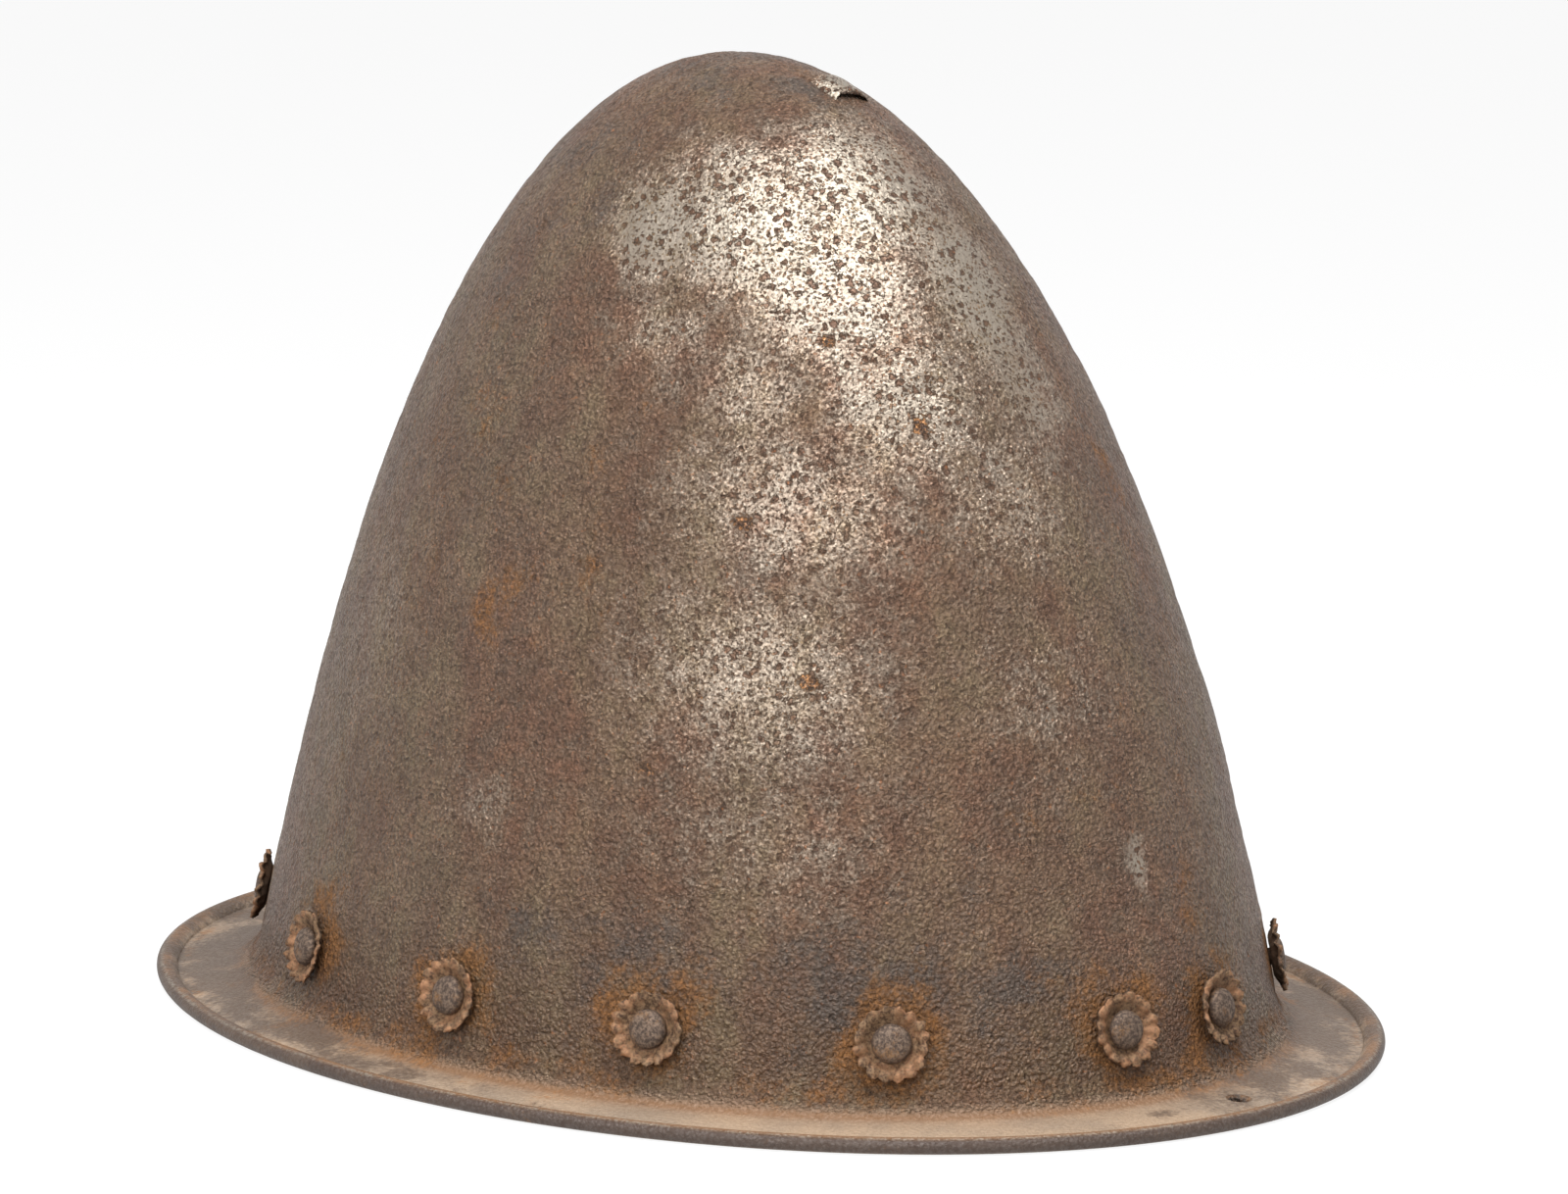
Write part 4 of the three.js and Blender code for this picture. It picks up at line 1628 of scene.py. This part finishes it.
def relief_tree() -> NodeTree:
    """Builds the tree that dents, flakes and pits forged iron, inwards only."""
    names = [f"{form} {size}" for form in ("Dent", "Flake", "Pit") for size in ("Depth", "Size")]
    ports = dict.fromkeys([*names, "Seed"], "NodeSocketFloat") | {"Material": "NodeSocketMaterial"}
    graph, given = geometry_tree("Forged relief", ports)
    place = graph.add("GeometryNodeInputPosition").outputs[0]
    normal = graph.add("GeometryNodeInputNormal").outputs[0]
    value = given.outputs
    shifted = graph.vector("ADD", place, graph.scaled((1.0, 0.7, 0.4), value["Seed"]))

    dents = graph.span(graph.noise(shifted, value["Dent Size"], 1.0), 0.34, 0.7)
    dents = graph.times(dents, value["Dent Depth"], graph.named("dented"))
    flakes = graph.span(graph.noise(shifted, value["Flake Size"], 4.0, 0.6), 0.4, 0.58)
    flakes = graph.times(flakes, value["Flake Depth"])
    stir = graph.noise(shifted, graph.times(value["Pit Size"], 0.4), 2.0)
    ragged = graph.plus(graph.cells(shifted, value["Pit Size"]), graph.times(stir, 0.5))
    pits = graph.span(ragged, 0.34, 0.5, 1.0, 0.0)
    where = graph.noise(shifted, graph.times(value["Pit Size"], 3), 2.0)
    pits = graph.times(pits, graph.span(where, 0.5, 0.62), value["Pit Depth"])
    skin = graph.times(graph.plus(flakes, pits), graph.named("pitted"))

    depth = graph.times(graph.plus(dents, skin), -1.0)
    moved = graph.add(
        "GeometryNodeSetPosition",
        {"Geometry": value["Geometry"], "Offset": graph.scaled(normal, depth)},
    )
    return end_tree(graph, moved.outputs[0], value["Material"])


def row_tree() -> NodeTree:
    """Builds the tree that sets a blank at each seat, each copy a little different.

    A seat is a point with the directions it faces, "out", and lies along, "along".
    """
    ports = {"Blank": "NodeSocketObject"}
    ports |= dict.fromkeys(("Spin", "Lean", "Roughness", "Grain"), "NodeSocketFloat")
    ports |= {"Seed": "NodeSocketInt", "Material": "NodeSocketMaterial"}
    graph, given = geometry_tree("Hammered row", ports)
    value = given.outputs
    blank = graph.add("GeometryNodeObjectInfo", {"Object": value["Blank"]})
    facing = graph.add(
        "FunctionNodeAlignRotationToVector",
        {"Vector": graph.named("out", "FLOAT_VECTOR")},
        axis="Z",
    )
    aligned = graph.add(
        "FunctionNodeAlignRotationToVector",
        {"Rotation": facing.outputs[0], "Vector": graph.named("along", "FLOAT_VECTOR")},
        axis="X",
        pivot_axis="Z",
    )
    lean, spin = value["Lean"], value["Spin"]
    most = graph.add("ShaderNodeCombineXYZ", {0: lean, 1: lean, 2: spin}).outputs[0]
    least = graph.scaled(most, -1.0)
    wobble = graph.add(
        "FunctionNodeRandomValue",
        {"Min": least, "Max": most, "Seed": value["Seed"]},
        data_type="FLOAT_VECTOR",
    )
    turn = graph.add("FunctionNodeEulerToRotation", {0: wobble.outputs[0]}).outputs[0]
    rotation = graph.add(
        "FunctionNodeRotateRotation", {0: aligned.outputs[0], 1: turn}, rotation_space="LOCAL"
    )
    copies = graph.add(
        "GeometryNodeInstanceOnPoints",
        {
            "Points": value["Geometry"],
            "Instance": blank.outputs["Geometry"],
            "Rotation": rotation.outputs[0],
        },
    )
    real = graph.add("GeometryNodeRealizeInstances", {"Geometry": copies.outputs[0]})
    place = graph.add("GeometryNodeInputPosition").outputs[0]
    amount = graph.times(value["Roughness"], 2.0, graph.rest(graph.named("firm")))
    drift = graph.swirl(place, value["Grain"], amount)
    moved = graph.add("GeometryNodeSetPosition", {"Geometry": real.outputs[0], "Offset": drift})
    return end_tree(graph, moved.outputs[0], value["Material"])


def plant(
    name: str,
    seats: list[Matrix],
    blank: Object,
    tree: NodeTree,
    values: dict[str, object],
) -> Object:
    """Makes a piece out of one copy of a blank at each seat.

    Args:
        name: the piece's name.
        seats: the matrices of the seats.
        blank: what is copied; it is used up.
        tree: the geometry tree that sets a blank at each seat.
        values: the tree's other inputs, by name.

    Returns:
        The piece.
    """
    points = np.array([seat.translation for seat in seats])
    made = mesh_object(name, points, [])
    for axis, label in ((0, "along"), (2, "out")):
        layer = made.data.attributes.new(label, "FLOAT_VECTOR", "POINT")
        vectors = np.array([seat.to_3x3().col[axis] for seat in seats])
        layer.data.foreach_set("vector", vectors.astype(np.float32).ravel())
    grow(made, tree, {"Blank": blank} | values)
    bpy.data.objects.remove(blank)
    return made


def lathe(name: str, outline: list[Pair], steps: int) -> Object:
    """Turns an outline round Z.

    Args:
        name: the object's name.
        outline: radius and height of its points; a radius of 0 is a pole.
        steps: the points round each ring.

    Returns:
        The object.
    """
    turns = ring_turns(steps)
    grid = [circle(radius, height, turns) for radius, height in outline if radius > 0]
    points = np.concatenate(grid)
    faces = lattice_faces(len(grid), steps)
    poles = [(k, h) for k, (r, h) in enumerate(outline) if r == 0]
    for place, height in poles:
        pole = len(points)
        points = np.concatenate([points, [[0, 0, height]]])
        start = 0 if place == 0 else (len(grid) - 1) * steps
        for step in range(steps):
            faces.append([pole, start + step, start + (step + 1) % steps])
    made = mesh_object(name, points, faces)
    mend(made)
    return made


@dataclass
class LiningRivets:
    """Rivets with their rosettes and roves, in a row round the foot of the skull."""

    shape: SkullShape
    head_radius: float = 4.5 * MM
    head_height: float = 2.4 * MM
    shank_radius: float = 2 * MM
    tail_radius: float = 3.2 * MM
    tail_height: float = 1.2 * MM
    rosette_radius: float = 8.55 * MM
    rosette_rise: float = 1.65 * MM
    rosette_sheet: float = 0.55 * MM
    scallops: int = 16
    scallop_depth: float = 0.75 * MM
    lip_fall: float = 0.2 * MM
    rove_side: float = 8.9 * MM
    rove_thickness: float = 1 * MM
    strap_thickness: float = 2.5 * MM
    rove_gap: float = 0.55 * MM
    gap: float = 0.3 * MM

    @property
    def rove_depth(self) -> float:
        """Depth of the rove's outer face under the wall's."""
        return self.shape.sheet + self.gap + self.strap_thickness + self.rove_gap

    @property
    def head_seat(self) -> float:
        """Height of the head's underside above the wall's face."""
        return 2 * self.gap + self.rosette_sheet

    def rivet_blank(self) -> Object:
        """Builds one rivet along Z: a low dome outside and a clenched tail inside."""
        seat, head = self.head_seat, self.head_radius
        tail_top = -(self.rove_depth + self.rove_thickness + self.gap)
        tail_end = tail_top - self.tail_height
        angles = np.linspace(0.12, math.pi / 2, 7)[:-1]
        dome = [
            (head * math.cos(a) ** 0.55, seat + self.head_height * math.sin(a) ** 0.8)
            for a in angles
        ]
        outline = [
            (0, tail_end),
            (self.tail_radius * 0.45, tail_end),
            (self.tail_radius * 0.8, tail_end + self.tail_height * 0.25),
            (self.tail_radius, tail_end + self.tail_height * 0.7),
            (self.tail_radius * 0.96, tail_top),
            (self.shank_radius, tail_top),
            (self.shank_radius, seat),
            (head * 0.96, seat),
            (head, seat + self.head_height * 0.12),
            *dome[1:],
            (0, seat + self.head_height),
        ]
        return lathe("rivet_blank", outline, 28)

    def rosette_blank(self) -> Object:
        """Builds one rosette: a thin cup with its hollow outwards and a scalloped rim."""
        steps = self.scallops * 6
        turns = ring_turns(steps)
        wave = np.abs(np.cos(turns * self.scallops / 2))
        bore = self.shank_radius + self.gap
        shares = np.linspace(0, 1, 18)
        rows, rim, under, firm = [], [], [], []
        for side, order in ((Side.INSIDE, shares), (Side.OUTSIDE, shares[::-1])):
            for share in order:
                reach = bore + (self.rosette_radius - bore) * share
                climb = float(eased(np.array(share), 0.36, 0.82))
                lip = float(eased(np.array(share), 0.78, 1))
                rise = self.rosette_rise * climb - self.lip_fall * lip
                radius = reach - self.scallop_depth * lip * (1 - wave)
                height = self.gap + rise + self.scallop_depth * climb * (wave - 0.5)
                thickness = self.rosette_sheet * (1 + 0.5 * lip)
                lift = thickness if side is Side.OUTSIDE else 0
                rows.append(circle(radius, np.maximum(height, self.gap) + lift, turns))
                rim.append(np.full(steps, share))
                firm.append(np.full(steps, 0.8 * (1 - share**2)))
                under.append(np.full(steps, 1.0 if side is Side.INSIDE else 0.0))
        for layer in (rows, rim, firm, under):
            layer.append(layer[0])
        faces = lattice_faces(len(rows), steps)
        made = mesh_object("rosette_blank", np.concatenate(rows), faces)
        for label, values in (("rim", rim), ("firm", firm), ("under", under)):
            carry(made, label, np.concatenate(values))
        mend(made)
        return made

    def rove_blank(self) -> Object:
        """Builds one rove: a square washer with worn corners and a round hole."""
        steps = 48
        turns = ring_turns(steps)
        half = self.rove_side / 2
        square = half / (np.abs(np.cos(turns)) ** 7 + np.abs(np.sin(turns)) ** 7) ** (1 / 7)
        bore = np.full(steps, self.shank_radius + self.gap)
        top = -self.rove_depth
        low = top - self.rove_thickness
        bevel = 0.25 * MM
        profile = [
            (bore, low + bevel),
            (bore, top - bevel),
            (bore + bevel, top),
            (square - bevel, top),
            (square, top - bevel),
            (square, low + bevel),
            (square - bevel, low),
            (bore + bevel, low),
            (bore, low + bevel),
        ]
        rows = [circle(radius, height, turns) for radius, height in profile]
        made = mesh_object("rove_blank", np.concatenate(rows), lattice_faces(len(rows), steps))
        mend(made)
        return made

    def build(self, iron: Material, brassy: Material, tree: NodeTree) -> None:
        """Args:
            iron: the finish of the rivets and roves.
            brassy: the finish of the rosettes.
            tree: the geometry tree that sets a blank at each seat.
        """
        seats = [self.shape.seat(turn) for turn in self.shape.rivet_turns()]
        rows = (
            ("lining_rivets", "rivet", self.rivet_blank(), iron, "rivet_iron", 0.16 * MM, 3.0),
            ("rosettes", "rosette", self.rosette_blank(), brassy, "rosette", 1.25 * MM, 3.0),
            ("roves", "rove", self.rove_blank(), iron, "rivet_iron", 0.1 * MM, 0.25),
        )
        for seed, (name, node, blank, material, slot, roughness, spin) in enumerate(rows, 1):
            values = {
                "Spin": spin,
                "Lean": 0.035 if node != "rosette" else 0.02,
                "Roughness": roughness,
                "Grain": 4 * MM if node != "rosette" else 2.2 * MM,
                "Seed": seed,
                "Material": material,
            }
            piece = plant(name, seats, blank, tree, values)
            declare(piece, slot, *[f"{node}_{k:02d}" for k in range(1, len(seats) + 1)])


# Lining


@dataclass
class LiningCap:
    """Leather strap inside the skull and the quilted cap sewn to it, gore by gore."""

    shape: SkullShape
    strap_thickness: float = 2.5 * MM
    strap_height: float = 25 * MM
    strap_standoff: float = 1.1 * MM
    strap_columns: int = 260
    rust_reach: Pair = (6 * MM, 14 * MM)
    end_gap: float = 1.2 * MM
    hem_overlap: float = 8.5 * MM
    cap_height: float = 180 * MM
    fullness: float = 1.5
    padding: float = 4 * MM
    quilted: float = 1.3 * MM
    crown_hole: float = 9 * MM
    gores: int = 6
    channels: int = 5
    gore_columns: int = 50
    gore_rows: int = 64
    channel_fullness: float = 0.55
    plumpness: float = 0.93
    end_taper: float = 0.035
    edge_taper: float = 0.015
    edge_thickness: float = 0.55
    sweat: float = 0.75
    sweat_top: float = 62 * MM
    seam_gap: float = 0.8 * MM
    lace_radius: float = 1.2 * MM
    lace_twists: int = 17
    strand_share: float = 0.46
    stitches: int = 150
    stitch_lift: float = 0.022
    stitch_sink: float = 0.5 * MM
    stitch_step: float = 0.01

    @property
    def strap_depth(self) -> float:
        """Depth of the strap's outer face under the wall's."""
        return self.shape.sheet + self.shape.fit_gap

    @property
    def strap_bottom(self) -> float:
        """Height of the strap's lower edge."""
        return self.shape.hollow_start + self.strap_standoff

    @property
    def hem_height(self) -> float:
        """Height at which the cap's hem lies on the strap."""
        return self.strap_bottom + self.strap_height - self.hem_overlap

    def hem(self) -> Rings:
        """Gives the outside of the cap's hem."""
        depth = self.strap_depth + self.strap_thickness + self.shape.fit_gap
        return self.shape.inset(np.array([self.hem_height]), depth)

    def cap(self, lift: np.ndarray, inset: np.ndarray) -> Rings:
        """Gives the cap's rings at shares of its height, some way in from its outside."""
        hem = self.hem()
        height = hem.height + (self.cap_height - inset - hem.height) * lift
        narrowing = (1 - lift**self.fullness) ** (1 / self.fullness)
        return Rings(
            (hem.half_width - inset) * narrowing,
            (hem.half_length - inset) * narrowing,
            -self.shape.crown_lean * (height / self.shape.height) ** 2,
            height,
        )

    @property
    def hem_reach(self) -> float:
        """Half of the cap's width at its hem."""
        return float(self.hem().half_width[0])

    @property
    def hole_lift(self) -> float:
        """Share of the cap's height at which the laced hole opens."""
        share = self.crown_hole / self.hem_reach
        return float((1 - share**self.fullness) ** (1 / self.fullness))

    def strap(self) -> Object:
        """Builds the strap: one strip with soft edges whose ends meet at the rear."""
        edge = np.array([0.0, 0.02, 0.05, 0.1, 0.25, 0.5, 0.75, 0.9, 0.95, 0.98, 1.0])
        soft = np.minimum(1, 1 - (np.maximum(0, np.abs(edge - 0.5) - 0.44) / 0.06) ** 2 * 0.62)
        heights = self.strap_bottom + self.strap_height * edge
        middle = self.strap_depth + self.strap_thickness / 2
        reach = self.strap_thickness / 2 * soft
        inner, outer = (
            [self.shape.inset(np.array([h]), depth) for h, depth in zip(heights, middle + way)]
            for way in (reach, -reach)
        )
        rings = Rings.joined([*outer[::-1], *inner, outer[-1]])
        trim = self.end_gap / 2 / float(rings.half_width.max())
        turns = np.linspace(REAR_TURN + trim, REAR_TURN + FULL_TURN - trim, self.strap_columns)
        grid = rings.points(turns)
        made = self.solid_strip("lining_strap_leather", grid)
        places = places_of(made)
        rust = np.zeros(len(places))
        for turn in self.shape.rivet_turns():
            gap = np.linalg.norm(places - np.array(self.shape.seat(turn).translation), axis=1)
            rust = np.maximum(rust, 1 - eased(gap, *self.rust_reach))
        carry(made, "rust", rust)
        return made

    @staticmethod
    def solid_strip(name: str, grid: np.ndarray) -> Object:
        """Closes a strip whose rows go round its section.

        Args:
            name: the object's name.
            grid: points by row of the section, the last like the first, and by column.

        Returns:
            The closed strip.
        """
        rows, columns = grid.shape[:2]
        faces = lattice_faces(rows, columns, closed=False)
        ring = rows - 1
        for column in (0, columns - 1):
            loop = [row * columns + column for row in range(ring)]
            for k in range(ring // 2 - 1):
                faces.append([loop[k], loop[k + 1], loop[ring - 2 - k], loop[ring - 1 - k]])
        made = mesh_object(name, grid.reshape(-1, 3), faces)
        mend(made)
        return made

    def gore(self, number: int) -> Object:
        """Builds one gore, swelling between its sewn channels.

        Args:
            number: its place round the cap, from 0.

        Returns:
            The closed gore, with its weave laid along its length.
        """
        across, rows = self.gore_columns, self.gore_rows
        span = FULL_TURN / self.gores
        start = REAR_TURN + span * number
        trim = self.seam_gap / 2 / self.hem_reach
        share = np.linspace(0, 1, across + 1)
        turns = start + trim + (span - 2 * trim) * share
        climb = np.linspace(0, 1, rows + 1)
        lift = self.hole_lift * np.sin(math.pi / 2 * climb)
        swell = np.abs(np.sin(math.pi * share * self.channels)) ** self.channel_fullness
        rng = np.random.default_rng(20 + number)
        waves = sum(
            rng.uniform(0.02, 0.05)
            * np.sin(climb * rng.uniform(9, 34) + rng.uniform(0, 6))[:, None]
            * np.sin(share * rng.uniform(6, 20) + rng.uniform(0, 6))
            for _ in range(6)
        )
        ends = np.minimum(1, np.minimum(climb, 1 - climb) / self.end_taper) ** 0.5
        body = np.clip(swell[None, :] * (self.plumpness + waves), 0, 1) * ends[:, None]
        thickness = self.quilted + (self.padding - self.quilted) * body
        edge = np.minimum(1, np.minimum(share, 1 - share) / self.edge_taper)
        thickness *= self.edge_thickness + (1 - self.edge_thickness) * edge[None, :]
        sheets = []
        for side in (-0.5, 0.5):
            inset = self.padding / 2 + side * thickness
            points = np.empty((rows + 1, across + 1, 3))
            for row in range(rows + 1):
                rings = self.cap(np.full(across + 1, lift[row]), inset[row])
                points[row, :, 0] = rings.half_width * np.cos(turns)
                points[row, :, 1] = rings.shift + rings.half_length * np.sin(turns)
                points[row, :, 2] = rings.height
            sheets.append(points)
        grid = np.concatenate([sheets[0][::-1], sheets[1], sheets[0][::-1][:1]])
        made = self.solid_strip(f"quilted_gore_{number + 1}", grid)
        places = places_of(made)
        sweat = 1 - eased(places[:, 2], self.hem_height, self.sweat_top)
        carry(made, "rust", self.sweat * sweat)
        layer = made.data.uv_layers.new(name="cloth")
        loops = np.array([loop.vertex_index for loop in made.data.loops])
        angle = (np.arctan2(places[:, 1], places[:, 0]) - start) % FULL_TURN
        angle = np.where(angle > math.pi * 1.5, angle - FULL_TURN, angle)
        length = places[:, 2] + (self.hem_reach - np.hypot(places[:, 0], places[:, 1]))
        flat = np.stack([angle * self.hem_reach, length], axis=1)[loops]
        layer.data.foreach_set("uv", flat.astype(np.float32).ravel())
        return made

    def lace(self) -> Object:
        """Builds the lace round the crown's hole: three strands laid up into a ring."""
        lift = np.array([self.hole_lift])
        hole = self.cap(lift, np.array([self.padding]))
        height = self.cap(lift, np.array([self.padding / 2])).height[0]
        reach = self.lace_radius + self.shape.fit_gap
        strand = self.lace_radius * self.strand_share
        lay = self.lace_radius - strand
        steps, sides, strands = 340, 8, 3
        turns = ring_turns(steps)
        angles = ring_turns(sides)
        parts, faces = [], []
        for index in range(strands):
            phase = self.lace_twists * turns + FULL_TURN * index / strands
            out = lay * np.cos(phase)[:, None] + strand * np.cos(angles)[None, :]
            up = lay * np.sin(phase)[:, None] + strand * np.sin(angles)[None, :]
            across = (hole.half_width[0] - reach + out) * np.cos(turns)[:, None]
            along = (hole.half_length[0] - reach + out) * np.sin(turns)[:, None]
            tube = np.stack([across, hole.shift[0] + along, height + up], axis=2)
            first = index * steps * sides
            parts.append(tube.reshape(-1, 3))
            faces += lattice_faces(steps, sides, first)
            last = first + (steps - 1) * sides
            for side in range(sides):
                after = (side + 1) % sides
                faces.append([last + side, first + side, first + after, last + after])
        made = mesh_object("crown_lace_cord", np.concatenate(parts), faces)
        mend(made)
        return made

    def stitch_blank(self) -> Object:
        """Builds one stitch, a short thread that dips at its ends, along X."""
        steps, sides = 8, 6
        share = np.linspace(-1, 1, steps + 1)
        radius = 0.42 * MM * (1 - np.abs(share) ** 4) + 0.06 * MM
        angles = ring_turns(sides)
        along = np.repeat((share * 1.7 * MM)[:, None], sides, axis=1)
        across = radius[:, None] * np.cos(angles)
        up = radius[:, None] * np.sin(angles) - (0.5 * MM * share**4)[:, None]
        points = np.stack([along, across, up], axis=2).reshape(-1, 3)
        faces = lattice_faces(steps + 1, sides)
        faces.append(list(range(sides)))
        faces.append(list(range(steps * sides, (steps + 1) * sides)))
        made = mesh_object("stitch_blank", points, faces)
        mend(made)
        return made

    def stitch_seats(self) -> list[Matrix]:
        """Lists the places of the stitches that hold the cap's hem to the strap."""
        seats = []
        inset = np.array([self.padding - self.stitch_sink])
        ring = self.cap(np.array([self.stitch_lift]), inset)
        upper = self.cap(np.array([self.stitch_lift + self.stitch_step]), inset)
        for index in range(self.stitches):
            angle = np.array([FULL_TURN * (index + 0.5) / self.stitches])
            place = Vector(ring.points(angle)[0, 0])
            rise = Vector(upper.points(angle)[0, 0]) - place
            ahead = Vector(ring.points(angle + self.stitch_step)[0, 0]) - place
            along = ahead.normalized()
            inward = rise.cross(along).normalized()
            seats.append(standing(place, along, inward.cross(along), inward))
        return seats

    def build(self, leather: Material, linen: Material, thread: Material, tree: NodeTree) -> None:
        """Builds the lining and declares its pieces.

        Args:
            leather: the finish of the strap.
            linen: the finish of the gores.
            thread: the finish of the stitches and the lace.
            tree: the geometry tree that sets a blank at each seat.
        """
        self.settle(self.strap(), leather, "leather", "lining_strap")
        for number in range(self.gores):
            gore = self.gore(number)
            self.settle(gore, linen, "linen", f"liner_gore_{number + 1}")
        self.settle(self.lace(), thread, "linen", "crown_lace")
        values = {
            "Spin": 0.12,
            "Lean": 0.06,
            "Roughness": 0.12 * MM,
            "Grain": 1.5 * MM,
            "Seed": 9,
            "Material": thread,
        }
        seats = self.stitch_seats()
        stitches = plant("hem_stitches", seats, self.stitch_blank(), tree, values)
        declare(stitches, "linen")

    @staticmethod
    def settle(piece: Object, material: Material, slot: str, node: str) -> None:
        piece.data.materials.append(material)
        declare(piece, slot, node)


# Studio


@dataclass
class Studio:
    """Pale floor, soft light and the camera at the photograph's angle."""

    azimuth: float = 134.65
    elevation: float = 10.06
    roll: float = 0.81
    distance: float = 1.8
    lens: float = 175.94
    aim_height: float = 0.110
    aim_across: float = 0.0039
    aim_up: float = -0.0125
    sky: float = 0.22
    lit_height: float = 0.1
    # A lamp's place is how far it hangs before, to the right of and above the point it faces.
    key_place: tuple[float, float, float] = (0.35, 0.1, 1.1)
    key_power: float = 20.2
    key_size: Pair = (1.2, 0.7)
    fill_place: tuple[float, float, float] = (1.4, -0.62, 0.75)
    fill_power: float = 21.0
    fill_size: Pair = (1.3, 0.6)
    floor_half: float = 6.0
    floor_drop: float = 0.2 * MM
    floor_white: float = 0.86
    floor_glow: float = 1.1
    glow_share: float = 0.8

    def place_camera(self) -> None:
        """Makes the camera and gives it to the scene."""
        azimuth, elevation = math.radians(self.azimuth), math.radians(self.elevation)
        level = math.cos(elevation)
        back = (math.sin(azimuth) * level, -math.cos(azimuth) * level, math.sin(elevation))
        back, right = Vector(back), Vector((math.cos(azimuth), math.sin(azimuth), 0))
        up = back.cross(right)
        cosine, sine = math.cos(math.radians(self.roll)), math.sin(math.radians(self.roll))
        across = right * cosine + up * sine
        above = up * cosine - right * sine
        aim = Vector((0, 0, self.aim_height))
        place = aim + back * self.distance
        aim = aim + across * self.aim_across + above * self.aim_up
        data = bpy.data.cameras.new("camera")
        data.lens = self.lens
        data.sensor_width = 36
        data.clip_start = 0.01
        data.clip_end = 50
        camera = bpy.data.objects.new("camera", data)
        camera.matrix_world = facing(place, aim, above)
        bpy.context.scene.collection.objects.link(camera)
        bpy.context.scene.camera = camera

    def lamp(self, name: str, place: Vector, aim: Vector, size: Pair, power: float) -> None:
        """Hangs an oblong softbox.

        Args:
            name: its name.
            place: where it hangs.
            aim: the point it faces.
            size: its width and height.
            power: its strength in watts.
        """
        data = bpy.data.lights.new(name, "AREA")
        data.shape = "RECTANGLE"
        data.size, data.size_y = size
        data.energy = power
        made = bpy.data.objects.new(name, data)
        made.matrix_world = facing(place, aim, Vector((0, 0, 1)))
        bpy.context.scene.collection.objects.link(made)

    def light(self) -> None:
        """Hangs the softboxes and sets the world round them."""
        azimuth = math.radians(self.azimuth)
        front = Vector((math.sin(azimuth), -math.cos(azimuth), 0))
        side = Vector((math.cos(azimuth), math.sin(azimuth), 0))
        aim = Vector((0, 0, self.lit_height))
        lamps = (
            ("key_softbox", self.key_place, self.key_size, self.key_power),
            ("fill_softbox", self.fill_place, self.fill_size, self.fill_power),
        )
        for name, (out, across, up), size, power in lamps:
            place = aim + front * out + side * across + Vector((0, 0, up))
            self.lamp(name, place, aim, size, power)
        world = bpy.data.worlds.new("studio")
        world.use_nodes = True
        bpy.context.scene.world = world
        graph = Graph(world.node_tree)
        level = graph.between(graph.seen(), self.sky, 1.0)
        background = graph.tree.nodes["Background"]
        graph.wire(background, {"Color": (1.0, 1.0, 1.0), "Strength": level})

    def lay_floor(self) -> None:
        """Lays the pale floor."""
        signs = np.array([(-1, -1, 0), (1, -1, 0), (1, 1, 0), (-1, 1, 0)])
        corners = signs * self.floor_half - [0, 0, self.floor_drop]
        floor = mesh_object("floor", corners, [[0, 1, 2, 3]])
        material = bpy.data.materials.new("pale_floor")
        material.use_nodes = True
        graph = Graph(material.node_tree)
        shader = graph.tree.nodes["Principled BSDF"]
        graph.wire(shader, {"Base Color": (self.floor_white,) * 3, "Roughness": 0.9})
        glow = {"Color": (1.0, 1.0, 1.0), "Strength": self.floor_glow}
        glow = graph.add("ShaderNodeEmission", glow).outputs[0]
        share = graph.times(graph.seen(), self.glow_share)
        feeds = {0: share, 1: shader.outputs[0], 2: glow}
        mixed = graph.add("ShaderNodeMixShader", feeds).outputs[0]
        graph.wire(graph.tree.nodes["Material Output"], {"Surface": mixed})
        floor.data.materials.append(material)

    def build(self) -> None:
        """Sets up the camera, the light and the floor."""
        bpy.context.scene.view_settings.view_transform = "Standard"
        self.place_camera()
        self.light()
        self.lay_floor()


def main() -> None:
    """Builds the sub-assemblies in order and declares their pieces."""
    logging.basicConfig(level=logging.INFO, format="%(message)s")
    effects = Effects.build()
    shape = SkullShape.from_frame()
    browned = BrownedIron().build(effects)
    dark = DarkIron().build(effects)
    brassy = RustyRosette().build(effects)
    row = row_tree()
    Studio().build()
    ForgedSkull(shape).build(browned, relief_tree())
    LiningRivets(shape).build(dark, brassy, row)
    leather, linen = OldLeather().build(effects), OldLinen().build(effects)
    LiningCap(shape).build(leather, linen, WaxedThread().build(effects), row)
    bpy.data.objects["edge_wire"].material_slots[0].material = dark


if __name__ == "__main__":
    main()
